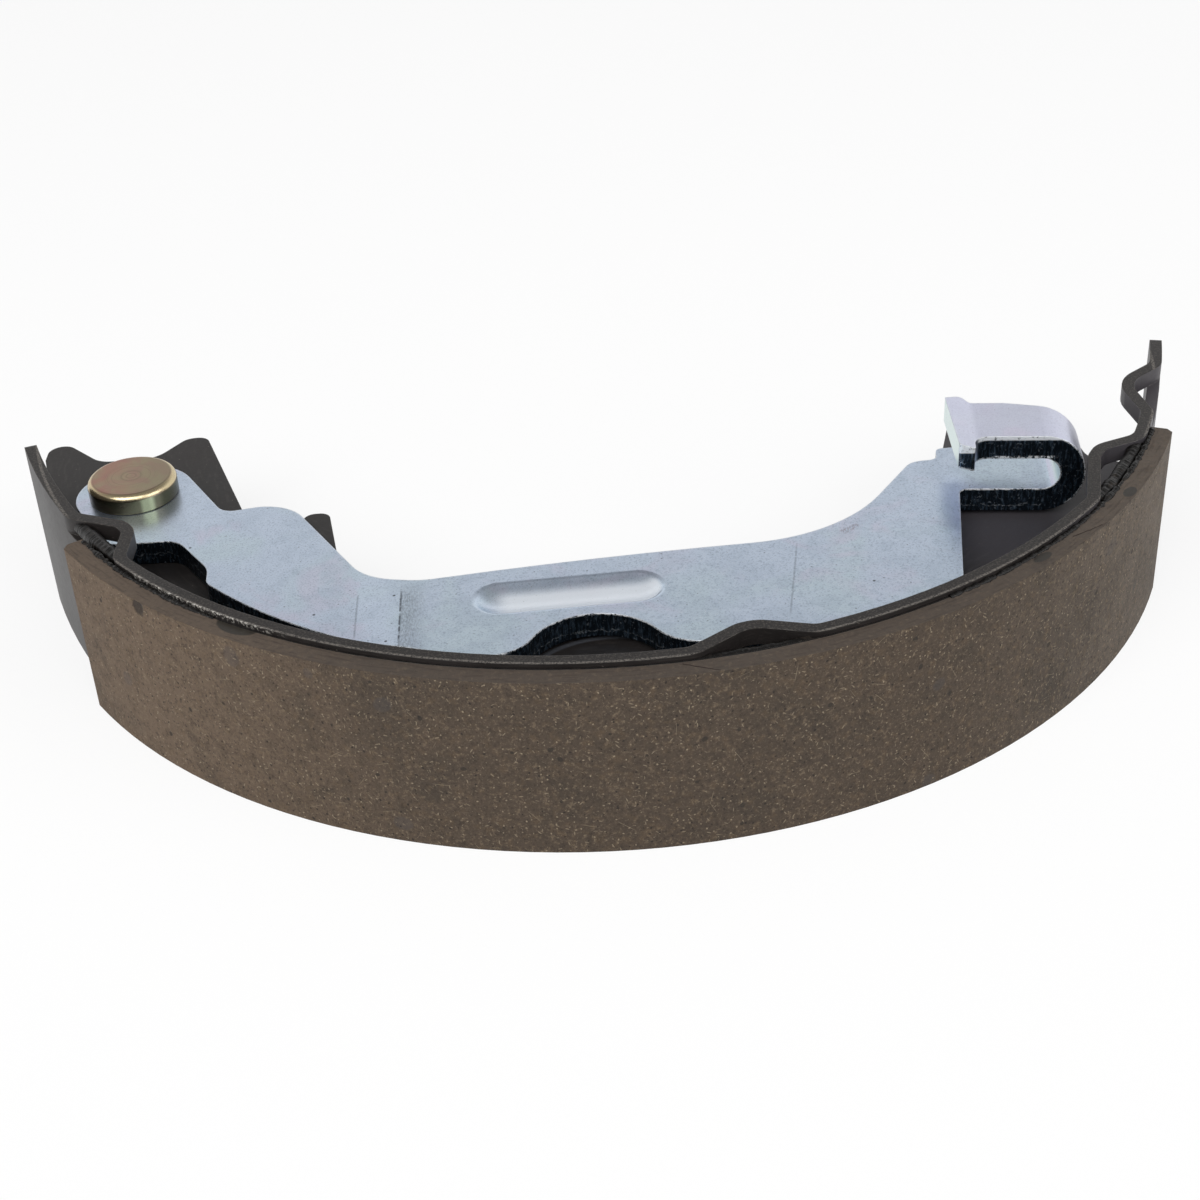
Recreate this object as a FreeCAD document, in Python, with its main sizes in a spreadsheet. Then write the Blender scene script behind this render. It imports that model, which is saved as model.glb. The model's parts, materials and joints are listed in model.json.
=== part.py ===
import FreeCAD, Part
import math
import os

# Drum brake shoe with its parking brake lever, lying on one edge of the rim.
# Plan angles are in degrees from the middle of the shoe, positive towards +X.
# While it is built, the drum axis is Z. At the end every piece moves by the same
# amount, so that the origin lies on the resting plane, under the middle of the part.

V = FreeCAD.Vector
UP = V(0, 0, 1)

# Driving dimensions, in millimetres and degrees
SIZES = {
    "drum_radius": 100.0,
    "lining_thickness": 3.45,
    "lining_width": 29.4,
    "lining_left_angle": -60.9,
    "lining_right_angle": 62.5,
    "lining_end_chamfer": 0.9,
    "glue_line": 0.05,
    "rim_thickness": 2.0,
    "rim_width": 30.2,
    "rim_end_angle": 81.9,
    "rim_end_rounding": 1.6,
    "rim_edge_rounding": 0.7,
    "left_flare_angle": -61.0,
    "left_flare_radius": 143.0,
    "right_flare_angle": 62.5,
    "right_flare_radius": 203.0,
    "nib_height": 2.8,
    "web_thickness": 4.0,
    "web_height": 28.5,
    "hold_down_radius": 4.5,
    "hold_down_depth": 9.0,
    "hold_down_angle": -4.7,
    "spring_hole_radius": 2.6,
    "spring_hole_depth": 22.5,
    "spring_hole_angle": 74.8,
    "lever_thickness": 4.0,
    "lever_gap": 0.15,
    "lever_joggle": 0.8,
    "joggle_radius": 12.0,
    "lever_edge_depth": 11.2,
    "lever_edge_bow": 1.0,
    "recess_radius": 10.6,
    "recess_depth": 12.2,
    "recess_angle": -6.2,
    "recess_runout": 2.2,
    "boss_radius": 9.75,
    "pivot_depth": 12.1,
    "pivot_angle": -76.8,
    "pin_radius": 4.0,
    "pin_clearance": 0.05,
    "pin_head_radius": 7.4,
    "pin_head_height": 3.4,
    "pin_head_rounding": 1.1,
    "pin_head_gap": 0.1,
    "pin_tail": 1.8,
    "pin_tail_bevel": 0.72,
    "hook_gap": 5.5,
    "hook_width": 11.6,
    "hook_leg": 13.9,
    "hook_turn": -11.0,
    "hook_depth": 12.0,
    "hook_angle": 54.3,
    "hook_flare": 0.9,
    "hook_flare_bend": 5.0,
    "hook_root": 13.0,
    "hook_neck_start": 5.5,
    "hook_neck_taper": 0.2,
    "hook_head_length": 2.7,
    "hook_head_overhang": 4.2,
    "hook_head_ear": 1.5,
    "hook_head_skew": 1.2,
    "groove_radius": 4.25,
    "groove_depth": 1.5,
    "groove_lip": 1.0,
    "groove_relief": 0.6,
    "groove_relief_radius": 3.85,
    "washer_radius": 8.0,
    "washer_thickness": 0.5,
    "washer_bow": 0.6,
    "washer_clearance": 0.2,
    "washer_seat_gap": 0.01,
    "clip_radius": 8.6,
    "clip_thickness": 1.2,
    "clip_groove_depth": 0.9,
    "clip_clearance": 0.05,
    "clip_seat_gap": 0.02,
    "clip_turn": 35.0,
}

doc = FreeCAD.newDocument("brake_shoe")


def make_sheet():
    sheet = doc.addObject("Spreadsheet::Sheet", "Sizes")
    for row, (name, value) in enumerate(SIZES.items(), start=1):
        sheet.set("A%d" % row, name)
        sheet.set("B%d" % row, str(value))
        sheet.setAlias("B%d" % row, name)
    doc.recompute()
    return sheet


sheet = make_sheet()


def size(name):
    return float(getattr(sheet, name))


# Radii and levels that several pieces share
RIM_OUTER = size("drum_radius") - size("lining_thickness") - size("glue_line")
RIM_INNER = RIM_OUTER - size("rim_thickness")
RIM_MIDDLE = RIM_OUTER - size("rim_thickness") / 2
WEB_BOTTOM = (size("rim_width") - size("web_thickness")) / 2
WEB_TOP = WEB_BOTTOM + size("web_thickness")
LEVER_BOTTOM = WEB_TOP + size("lever_gap")
LEVER_TOP = LEVER_BOTTOM + size("lever_thickness")
RAISED_BOTTOM = LEVER_BOTTOM + size("lever_joggle")
RAISED_TOP = LEVER_TOP + size("lever_joggle")
PIN_BORE_RULE = "Sizes.pin_radius + Sizes.pin_clearance"
WASHER_BOTTOM = WEB_BOTTOM - size("washer_bow") - size("washer_thickness")
CLIP_BOTTOM = WASHER_BOTTOM - size("clip_thickness")
CLIP_BORE = size("pin_radius") - size("clip_groove_depth")


def polar(radius, angle, height=0.0):
    turn = math.radians(angle)
    return V(radius * math.sin(turn), -radius * math.cos(turn), height)


def inside_rim(depth, angle):
    """A plan point that lies so far inside the rim's inner face."""
    return polar(RIM_INNER - depth, angle)


PIVOT = inside_rim(size("pivot_depth"), size("pivot_angle"))


# Outlines and plates

class Outline:
    """A closed plan outline of lines and arcs, with a rounding radius at its corners."""

    def __init__(self, start, rounding=0.0):
        self.start = start
        self.end = start
        self.edges = []
        self.roundings = [(start, rounding)]

    def line(self, point, rounding=0.0):
        self.edges.append(Part.makeLine(self.end, point))
        self.go_on(point, rounding)

    def arc(self, via, point, rounding=0.0):
        self.edges.append(Part.Arc(self.end, via, point).toShape())
        self.go_on(point, rounding)

    def go_on(self, point, rounding):
        self.end = point
        self.roundings.append((point, rounding))

    def plate(self, bottom, height):
        if (self.end - self.start).Length > 1e-6:
            self.edges.append(Part.makeLine(self.end, self.start))
        solid = Part.Face(Part.Wire(self.edges)).extrude(UP * height)
        for point, radius in self.roundings:
            if radius > 0:
                solid = solid.makeFillet(radius, [upright_edge(solid, point)])
        solid.translate(UP * bottom)
        return solid


def upright_edge(solid, point):
    """The vertical edge of a plate that stands at a plan point."""
    for edge in solid.Edges:
        ends = [vertex.Point for vertex in edge.Vertexes]
        if len(ends) == 2 and all(math.hypot(e.x - point.x, e.y - point.y) < 1e-4 for e in ends):
            return edge
    raise ValueError("no corner at %s" % point)


def left_normal(start, end):
    along = (end - start).normalize()
    return V(-along.y, along.x, 0)


def offset_corners(points, offset):
    """Corners of a bent line, moved sideways by offset."""
    moved = [points[0] + left_normal(points[0], points[1]) * offset]
    for before, here, after in zip(points, points[1:], points[2:]):
        first = left_normal(before, here)
        second = left_normal(here, after)
        mitre = (first + second).normalize()
        moved.append(here + mitre * (offset / mitre.dot(first)))
    moved.append(points[-1] + left_normal(points[-2], points[-1]) * offset)
    return moved


def rounded_run(points, radii):
    """Edges of a bent line whose inner corners are rounded with tangent arcs."""
    edges = []
    start = points[0]
    for before, here, after, radius in zip(points, points[1:], points[2:], radii):
        back = (before - here).normalize()
        ahead = (after - here).normalize()
        half_angle = back.getAngle(ahead) / 2
        reach = radius / math.tan(half_angle)
        middle = (back + ahead).normalize()
        via = here + middle * (radius / math.sin(half_angle) - radius)
        if (here + back * reach - start).Length > 1e-6:
            edges.append(Part.makeLine(start, here + back * reach))
        edges.append(Part.Arc(here + back * reach, via, here + ahead * reach).toShape())
        start = here + ahead * reach
    edges.append(Part.makeLine(start, points[-1]))
    return edges


# Share of a straight run that the bends at its two ends may take
BEND_ROOM = 0.98


def fitting_radii(points, radii):
    """Bend radii of a bent line, no larger than its straight runs leave room for."""
    reaches = [0.0]
    for before, here, after, radius in zip(points, points[1:], points[2:], radii):
        reaches.append(radius * math.tan((here - before).getAngle(after - here) / 2))
    reaches.append(0.0)
    shares = []
    for start, end, first, second in zip(points, points[1:], reaches, reaches[1:]):
        room = BEND_ROOM * (end - start).Length
        shares.append(room / max(first + second, room))
    return [radius * min(pair) for radius, *pair in zip(radii, shares, shares[1:])]


def bent_strip(points, radii, thickness):
    """Face of a strip of even thickness along a bent middle line in the XY plane."""
    sides = []
    for offset in (thickness / 2, -thickness / 2):
        side_radii = []
        for before, here, after, radius in zip(points, points[1:], points[2:], radii):
            turn = (here - before).cross(after - here).z
            side_radii.append(radius - offset if turn > 0 else radius + offset)
        sides.append(rounded_run(offset_corners(points, offset), side_radii))
    left, right = sides
    cap = Part.makeLine(left[-1].Vertexes[-1].Point, right[-1].Vertexes[-1].Point)
    base = Part.makeLine(right[0].Vertexes[0].Point, left[0].Vertexes[0].Point)
    return Part.Face(Part.Wire(Part.__sortEdges__(left + right + [cap, base])))


def arc_about(centre, radius, first, last):
    """Arc about a plan centre between two plan angles."""
    ends = [centre + polar(radius, angle) for angle in (first, (first + last) / 2, last)]
    return Part.Arc(*ends).toShape()


# Rim

# Strips of the rim's edge that are cut free and pushed inwards:
# start and end of the cut, first and last angle of the crest, depth and radius of the crest
NIBS = (
    (-66.4, -53.2, -60.4, -58.6, 5.0, 3.2),
    (0.3, 14.2, 6.6, 8.2, 4.1, 5.0),
    (44.6, 60.9, 53.8, 55.9, 4.8, 4.0),
    (63.2, 77.0, 70.7, 70.7, 5.1, 7.0),
)
NIB_LEAD = 2.6
NIB_FOLD_RADIUS = 4.0


def flare_centre(angle, radius):
    return polar(RIM_MIDDLE - radius, angle)


def rim_station(angle):
    """Middle line of the rim at a nominal angle: point and outward direction."""
    bend, radius = size("left_flare_angle"), size("left_flare_radius")
    if angle > 0:
        bend, radius = size("right_flare_angle"), size("right_flare_radius")
    if abs(angle) <= abs(bend):
        return polar(RIM_MIDDLE, angle), polar(1, angle)
    local = bend + (angle - bend) * RIM_MIDDLE / radius
    return flare_centre(bend, radius) + polar(radius, local), polar(1, local)


def rim_arcs(offset):
    """The three arcs of the rim's middle line, moved outwards by offset."""
    left, left_radius = size("left_flare_angle"), size("left_flare_radius")
    right, right_radius = size("right_flare_angle"), size("right_flare_radius")
    tip = size("rim_end_angle")
    left_tip = left + (-tip - left) * RIM_MIDDLE / left_radius
    right_tip = right + (tip - right) * RIM_MIDDLE / right_radius
    return [
        arc_about(flare_centre(left, left_radius), left_radius + offset, left_tip, left),
        arc_about(V(0, 0, 0), RIM_MIDDLE + offset, left, right),
        arc_about(flare_centre(right, right_radius), right_radius + offset, right, right_tip),
    ]


def rim_band():
    half = size("rim_thickness") / 2
    outer, inner = rim_arcs(half), rim_arcs(-half)
    caps = []
    for angle in (-size("rim_end_angle"), size("rim_end_angle")):
        point, outward = rim_station(angle)
        caps.append(Part.makeLine(point + outward * half, point - outward * half))
    wire = Part.Wire(Part.__sortEdges__(outer + inner + caps))
    return Part.Face(wire).extrude(UP * size("rim_width"))


def nib_window(start, end):
    reach = 2 * size("rim_thickness")
    corners = []
    for angle, order in ((start, (-1, 1)), (end, (1, -1))):
        point, outward = rim_station(angle)
        corners += [point + outward * reach * side for side in order]
    face = Part.Face(Part.makePolygon(corners + corners[:1]))
    return face.extrude(UP * size("nib_height"))


def nib_strip(start, end, crest_start, crest_end, depth, crest_radius):
    first, first_out = rim_station(start)
    last, last_out = rim_station(end)
    crest = []
    for angle in sorted({crest_start, crest_end}):
        point, outward = rim_station(angle)
        crest.append(point - outward * depth)
    first_lead = first + V(-first_out.y, first_out.x, 0) * NIB_LEAD
    last_lead = last - V(-last_out.y, last_out.x, 0) * NIB_LEAD
    points = [first, first_lead] + crest + [last_lead, last]
    radii = [NIB_FOLD_RADIUS] + [crest_radius] * len(crest) + [NIB_FOLD_RADIUS]
    strip = bent_strip(points, fitting_radii(points, radii), size("rim_thickness"))
    return strip.extrude(UP * size("nib_height"))


def round_rim_ends(rim):
    """Soften the upright edges of the rim's two ends."""
    tips = [rim_station(side * size("rim_end_angle"))[0] for side in (-1, 1)]
    ends = []
    for edge in rim.Edges:
        middle = edge.CenterOfMass
        off_middle = [math.hypot(middle.x - tip.x, middle.y - tip.y) for tip in tips]
        if min(off_middle) < size("rim_thickness") * 0.51 and edge.Length > size("rim_width") / 2:
            ends.append(edge)
    return rim.makeFillet(size("rim_edge_rounding"), ends)


def tip_trimmer(side, level, upwards):
    """What a rounded corner takes off one end of the rim, at its top or bottom edge."""
    radius = size("rim_end_rounding")
    point, outward = rim_station(side * size("rim_end_angle"))
    inward = V(outward.y, -outward.x, 0) * side
    middle = radius * (1 - math.sqrt(0.5))

    def place(along, down):
        return point + inward * along + UP * (level - upwards * down) - outward * size("rim_thickness")

    arc = Part.Arc(place(radius, 0), place(middle, middle), place(0, radius)).toShape()
    corners = [place(0, radius), place(-radius, radius), place(-radius, -radius),
               place(radius, -radius), place(radius, 0)]
    lines = [Part.makeLine(first, last) for first, last in zip(corners, corners[1:])]
    return Part.Face(Part.Wire([arc] + lines)).extrude(outward * 2 * size("rim_thickness"))


def rim_shape():
    rim = round_rim_ends(rim_band())
    for side in (-1, 1):
        rim = rim.cut(tip_trimmer(side, size("rim_width"), 1))
        rim = rim.cut(tip_trimmer(side, 0, -1))
    top = size("rim_width") - size("nib_height")
    for nib in NIBS:
        for level in (0, top):
            rim = rim.cut(nib_window(*nib[:2]).translated(UP * level))
    for nib in NIBS:
        for level in (0, top):
            rim = rim.fuse(nib_strip(*nib).translated(UP * level))
    return rim.removeSplitter()


# Web

def flare_inner(angle):
    """A point on the rim's inner face beyond the start of its flare."""
    point, outward = rim_station(angle)
    return point - outward * size("rim_thickness") / 2


def web_blank():
    inner_angles = (-44.0, 3.0, 50.0)
    inner = [inside_rim(size("web_height"), angle) for angle in inner_angles]
    outline = Outline(flare_inner(-80.0))
    outline.line(inside_rim(-4.4, -92.6), 3.0)
    outline.line(inside_rim(-4.7, -97.8), 2.5)
    outline.line(inside_rim(5.6, -91.2), 4.6)
    outline.line(inside_rim(15.5, -91.0), 5.0)
    outline.line(inside_rim(20.2, -96.0), 2.8)
    outline.line(inside_rim(23.8, -96.4), 2.3)
    outline.line(inside_rim(26.6, -61.4), 1.6)
    outline.line(inside_rim(31.9, -58.2), 1.6)
    outline.line(inside_rim(37.0, -65.0), 1.9)
    outline.line(inside_rim(40.6, -63.0), 1.9)
    outline.line(inner[0], 4.0)
    outline.arc(inner[1], inner[2], 8.0)
    outline.line(inside_rim(31.4, 79.5), 3.5)
    outline.line(inside_rim(23.8, 82.2), 5.0)
    outline.line(inside_rim(12.6, 79.4), 4.0)
    outline.line(inside_rim(7.8, 68.7), 4.0)
    outline.line(inside_rim(0.0, size("right_flare_angle") + 6.0))
    outline.line(inside_rim(0.0, size("right_flare_angle")))
    outline.arc(inside_rim(0.0, 0.0), inside_rim(0.0, size("left_flare_angle")))
    outline.arc(flare_inner(-72.0), flare_inner(-80.0))
    return outline


def add_feature(name, shape):
    feature = doc.addObject("Part::Feature", name)
    feature.Shape = shape
    return feature


def add_bore(name, centre, bottom, height_name, radius):
    """A cylinder through a plate, a little longer than the plate is thick."""
    bore = doc.addObject("Part::Cylinder", name)
    bore.setExpression("Height", "Sizes.%s * 3" % height_name)
    bore.setExpression("Radius", radius)
    start = bottom - size(height_name)
    bore.Placement = FreeCAD.Placement(centre + UP * start, FreeCAD.Rotation())
    return bore


def add_cut(name, base, tool):
    cut = doc.addObject("Part::Cut", name)
    cut.Base = base
    cut.Tool = tool
    return cut


def add_union(name, shapes):
    union = doc.addObject("Part::MultiFuse", name)
    union.Shapes = shapes
    return union


def make_web():
    blank = add_feature("web_blank", web_blank().plate(WEB_BOTTOM, size("web_thickness")))
    hold_down = inside_rim(size("hold_down_depth"), size("hold_down_angle"))
    spring = inside_rim(size("spring_hole_depth"), size("spring_hole_angle"))
    bores = add_union("web_bores", [
        add_bore("web_pin_bore", PIVOT, WEB_BOTTOM, "web_thickness", PIN_BORE_RULE),
        add_bore("hold_down_bore", hold_down, WEB_BOTTOM, "web_thickness", "Sizes.hold_down_radius"),
        add_bore("spring_bore", spring, WEB_BOTTOM, "web_thickness", "Sizes.spring_hole_radius"),
    ])
    return add_cut("shoe_web", blank, bores)


# Parking lever

def tangent_point(centre, radius, target, side):
    """Where a line from the target touches a circle, on its left (1) or right (-1)."""
    reach = target - centre
    spread = math.degrees(math.acos(radius / reach.Length)) * side
    touch = FreeCAD.Rotation(UP, spread).multVec(reach.normalize() * radius)
    return centre + touch


def hook_frame():
    """Where the hook's bend starts at its front edge, the tongue's direction and its side."""
    start = inside_rim(size("hook_depth"), size("hook_angle"))
    turn = FreeCAD.Rotation(UP, size("hook_turn"))
    return start, turn.multVec(V(1, 0, 0)), turn.multVec(V(0, 1, 0))


def hook_side(reach):
    """Width of the hook's tongue at a distance along it, less at its neck."""
    return size("hook_width") - size("hook_neck_taper") * max(0.0, reach + size("hook_neck_start"))


def recess_end(side, edge_depth):
    """Where the round recess for the hold-down spring meets the lever's outer edge."""
    edge_radius = RIM_INNER - edge_depth
    centre_radius = RIM_INNER - size("recess_depth")
    recess = size("recess_radius")
    cosine = (edge_radius ** 2 + centre_radius ** 2 - recess ** 2) / (2 * edge_radius * centre_radius)
    swing = math.degrees(math.acos(cosine))
    return polar(edge_radius, size("recess_angle") + side * swing)


def lever_plan():
    edge = size("lever_edge_depth")
    hook_start, tongue, side = hook_frame()
    strut_seat = inside_rim(23.6, -66.5)
    heel = inside_rim(3.4, -67.3)
    boss = size("boss_radius")
    boss_right = tangent_point(PIVOT, boss, strut_seat, 1)
    boss_left = tangent_point(PIVOT, boss, heel, -1)
    recess_left = recess_end(-1, edge)
    recess_right = recess_end(1, edge + size("recess_runout"))
    recess_top = inside_rim(size("recess_depth") + size("recess_radius"), size("recess_angle"))

    outline = Outline(boss_right)
    outline.line(strut_seat, 3.0)
    outline.line(inside_rim(33.8, -63.7), 8.0)
    outline.line(inside_rim(24.3, -34.8), 13.0)
    outline.arc(inside_rim(38.4, -6.0), inside_rim(29.6, 29.8), 28.0)
    outline.line(inside_rim(34.3, 54.1), 3.6)
    outline.line(inside_rim(30.7, 56.4), 1.4)
    outline.line(inside_rim(31.9, 59.5), 1.2)
    outline.line(inside_rim(27.0, 61.8), 5.0)
    outline.line(hook_start + side * hook_side(0))
    outline.line(hook_start)
    outline.line(hook_start - tongue * size("hook_root"), 1.4)
    outline.line(inside_rim(7.5, 33.0), 3.0)
    outline.arc(inside_rim(edge - size("lever_edge_bow"), 20.0), recess_right, 8.0)
    outline.arc(recess_top, recess_left, 7.0)
    outline.arc(inside_rim(edge, -34.0), inside_rim(edge, -53.1), 2.4)
    outline.line(inside_rim(13.7, -55.5), 6.0)
    outline.line(inside_rim(14.0, -63.4), 4.0)
    outline.line(heel, 4.5)
    outline.line(boss_left)
    outline.arc(PIVOT + (PIVOT - (strut_seat + heel) * 0.5).normalize() * boss, boss_right)
    return outline


def upright(face):
    """A face drawn in the XY plane, stood up so that its Y becomes the height."""
    stood = face.copy()
    stood.rotate(V(0, 0, 0), V(1, 0, 0), 90)
    return stood


def lever_sheet():
    """The blade's plate seen from the front, with its joggle, as wide as the shoe."""
    reach = size("drum_radius")
    low = (LEVER_BOTTOM + LEVER_TOP) / 2
    high = low + size("lever_joggle")
    fold_start = inside_rim(24.3, -38.0).x
    fold_end = inside_rim(24.3, -31.5).x
    points = [V(-reach, low, 0), V(fold_start, low, 0), V(fold_end, high, 0), V(reach, high, 0)]
    strip = bent_strip(points, [size("joggle_radius")] * 2, size("lever_thickness"))
    return upright(strip).translated(V(0, reach / 4, 0)).extrude(V(0, -reach * 1.25, 0))


def hook_profile():
    """The folded tongue seen from the front: reach along the tongue, then height."""
    middle = (RAISED_BOTTOM + RAISED_TOP) / 2
    bend = (size("hook_gap") + size("lever_thickness")) / 2
    top = middle + 2 * bend
    flare_start = -size("hook_leg") + size("hook_head_length")
    tip = -size("hook_leg") - 2 * size("hook_head_skew")
    slope = size("hook_flare") / (flare_start + size("hook_leg"))
    points = [
        V(0, middle, 0), V(bend, middle, 0), V(bend, top, 0),
        V(flare_start, top, 0), V(tip, top + slope * (flare_start - tip), 0),
    ]
    radii = [bend, bend, size("hook_flare_bend")]
    return bent_strip(points, radii, size("lever_thickness"))


def hook_plan():
    """The folded tongue seen from above, with a head that stands out towards the rim."""
    bend_end = size("hook_gap") / 2 + 2 * size("lever_thickness")
    neck = -size("hook_neck_start")
    tip = -size("hook_leg")
    head = tip + size("hook_head_length")
    rear = size("hook_width")
    ear = rear + size("hook_head_ear")
    skew = size("hook_head_skew")
    front = -size("hook_head_overhang")
    outline = Outline(V(bend_end, 0, 0))
    outline.line(V(bend_end, hook_side(bend_end), 0))
    outline.line(V(neck, rear, 0))
    outline.line(V(head, rear, 0), 1.0)
    outline.line(V(head - skew, ear, 0), 1.0)
    outline.line(V(tip - skew, rear - skew / 2, 0), 0.5)
    outline.line(V(tip, front, 0), 0.5)
    outline.line(V(head, front, 0), 0.5)
    outline.line(V(head, 0, 0), 2.4)
    return outline


def hook_shape():
    plan = hook_plan().plate(0, 2 * size("rim_width"))
    reach = size("hook_width")
    strip = upright(hook_profile()).translated(V(0, 2 * reach, 0)).extrude(V(0, -3 * reach, 0))
    hook = strip.common(plan)
    hook.rotate(V(0, 0, 0), UP, size("hook_turn"))
    hook.translate(hook_frame()[0])
    return hook


def groove_ends():
    """Centres of the groove's two round ends."""
    return inside_rim(26.6, -18.3), inside_rim(29.6, -0.9)


def bead_shape(level, mouth_radius, depth):
    """A round bar with ball ends that sinks below a level, so wide there as its mouth."""
    first, second = groove_ends()
    radius = (mouth_radius ** 2 + depth ** 2) / (2 * depth)
    ahead = (second - first).normalize()
    side = V(-ahead.y, ahead.x, 0)
    slant = math.sqrt(0.5) * radius
    near = Part.Arc(first - ahead * radius, first + (side - ahead) * slant, first + side * radius)
    far = Part.Arc(second + side * radius, second + (side + ahead) * slant, second + ahead * radius)
    middle = Part.makeLine(first + side * radius, second + side * radius)
    base = Part.makeLine(second + ahead * radius, first - ahead * radius)
    section = Part.Face(Part.Wire([near.toShape(), middle, far.toShape(), base]))
    bar = section.revolve(first, ahead, 360)
    return bar.translated(UP * (level - depth + radius))


def relief_shape():
    """The low swelling that the pressed groove leaves under the lever."""
    depth = size("groove_relief")
    bar = bead_shape(RAISED_BOTTOM, size("groove_relief_radius"), depth)
    box = bar.BoundBox
    corner = V(box.XMin, box.YMin, RAISED_BOTTOM - 2 * depth)
    return bar.common(Part.makeBox(box.XLength, box.YLength, 3 * depth, corner))


def round_groove_lip(lever):
    """Soften the groove's mouth in the lever's top face."""
    first, second = groove_ends()
    reach = (second - first).Length / 2 + size("groove_radius")
    lip = []
    for edge in lever.Edges:
        ends = [vertex.Point for vertex in edge.Vertexes]
        near = all((V(e.x, e.y, 0) - (first + second) * 0.5).Length < reach + 0.1 for e in ends)
        if near and all(abs(e.z - RAISED_TOP) < 1e-4 for e in ends):
            lip.append(edge)
    return lever.makeFillet(size("groove_lip"), lip)


def lever_blank():
    plan = lever_plan().plate(0, 2 * size("rim_width"))
    blade = plan.common(lever_sheet())
    groove = bead_shape(RAISED_TOP, size("groove_radius"), size("groove_depth"))
    blank = blade.fuse([hook_shape(), relief_shape()]).removeSplitter().cut(groove)
    return round_groove_lip(blank)


def make_lever():
    blank = add_feature("lever_blank", lever_blank())
    bore = add_bore("lever_pin_bore", PIVOT, LEVER_BOTTOM, "lever_thickness", PIN_BORE_RULE)
    return add_cut("parking_lever", blank, bore)


# Pin, washer and clip

def origin_plane(body, role):
    for feature in body.Origin.OriginFeatures:
        if feature.Role == role:
            return feature
    raise ValueError("no plane %s" % role)


def add_sketch(body, name, role):
    sketch = body.newObject("Sketcher::SketchObject", name)
    sketch.AttachmentSupport = [(origin_plane(body, role), "")]
    sketch.MapMode = "FlatFace"
    return sketch


def draw_profile(sketch, corners):
    for start, end in zip(corners, corners[1:] + corners[:1]):
        sketch.addGeometry(Part.LineSegment(V(*start, 0), V(*end, 0)), False)


def revolve(body, sketch, name):
    turned = body.newObject("PartDesign::Revolution", name)
    turned.Profile = sketch
    turned.ReferenceAxis = (sketch, ["V_Axis"])
    turned.Angle = 360
    return turned


def round_edge(body, base, name, radius, height, round_name):
    """Round the circular edge of a turned piece at a radius and height."""
    doc.recompute()
    names = []
    for index, edge in enumerate(base.Shape.Edges, start=1):
        curve = edge.Curve
        if hasattr(curve, "Radius") and abs(curve.Radius - radius) < 1e-4:
            if abs(curve.Center.z - height) < 1e-4 and edge.Closed:
                names.append("Edge%d" % index)
    fillet = body.newObject("PartDesign::Fillet", name)
    fillet.Base = (base, names)
    fillet.setExpression("Radius", round_name)
    return fillet


def make_pin():
    head_bottom = LEVER_TOP + size("pin_head_gap")
    head_top = head_bottom + size("pin_head_height")
    tail = CLIP_BOTTOM - size("pin_tail")
    groove_top = WASHER_BOTTOM + size("clip_clearance")
    groove_bottom = CLIP_BOTTOM - size("clip_clearance")
    shank, bevel = size("pin_radius"), size("pin_tail_bevel")
    head = size("pin_head_radius")
    corners = [
        (0, tail), (shank - bevel, tail), (shank, tail + bevel),
        (shank, groove_bottom), (CLIP_BORE, groove_bottom),
        (CLIP_BORE, groove_top), (shank, groove_top), (shank, head_bottom),
        (head, head_bottom), (head, head_top), (0, head_top),
    ]
    body = doc.addObject("PartDesign::Body", "lever_pin")
    sketch = add_sketch(body, "pin_profile", "XZ_Plane")
    draw_profile(sketch, corners)
    turned = revolve(body, sketch, "turned_pin")
    round_edge(body, turned, "head_edge", head, head_top, "Sizes.pin_head_rounding")
    body.Placement = FreeCAD.Placement(PIVOT, FreeCAD.Rotation())
    return body


def add_disc(name, radius, bottom, height):
    disc = doc.addObject("Part::Cylinder", name)
    disc.setExpression("Radius", radius)
    disc.Height = height
    disc.Placement = FreeCAD.Placement(PIVOT + UP * bottom, FreeCAD.Rotation())
    return disc


def make_washer():
    """A spring washer bowed about one line, touching the web at its two high sides."""
    bow_radius = size("washer_radius") ** 2 / (2 * size("washer_bow"))
    outer = bow_radius + size("washer_thickness")
    axis_height = WASHER_BOTTOM + outer - size("washer_seat_gap")
    disc = add_disc("washer_disc", "Sizes.washer_radius", WASHER_BOTTOM - 1, 4)
    hole = add_disc("washer_hole", "Sizes.pin_radius + Sizes.washer_clearance", WASHER_BOTTOM - 1, 4)
    start = PIVOT + V(0, size("washer_radius") * 2, axis_height)
    lying = FreeCAD.Placement(start, FreeCAD.Rotation(V(1, 0, 0), 90))
    bows = []
    for name, radius in (("washer_bow_outer", outer), ("washer_bow_inner", bow_radius)):
        bow = doc.addObject("Part::Cylinder", name)
        bow.Radius = radius
        bow.setExpression("Height", "Sizes.washer_radius * 4")
        bow.Placement = lying
        bows.append(bow)
    sheet_of_spring = add_cut("washer_sheet", bows[0], add_union("washer_inside", [bows[1], hole]))
    washer = doc.addObject("Part::Common", "spring_washer")
    washer.Base = disc
    washer.Tool = sheet_of_spring
    return washer


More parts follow.
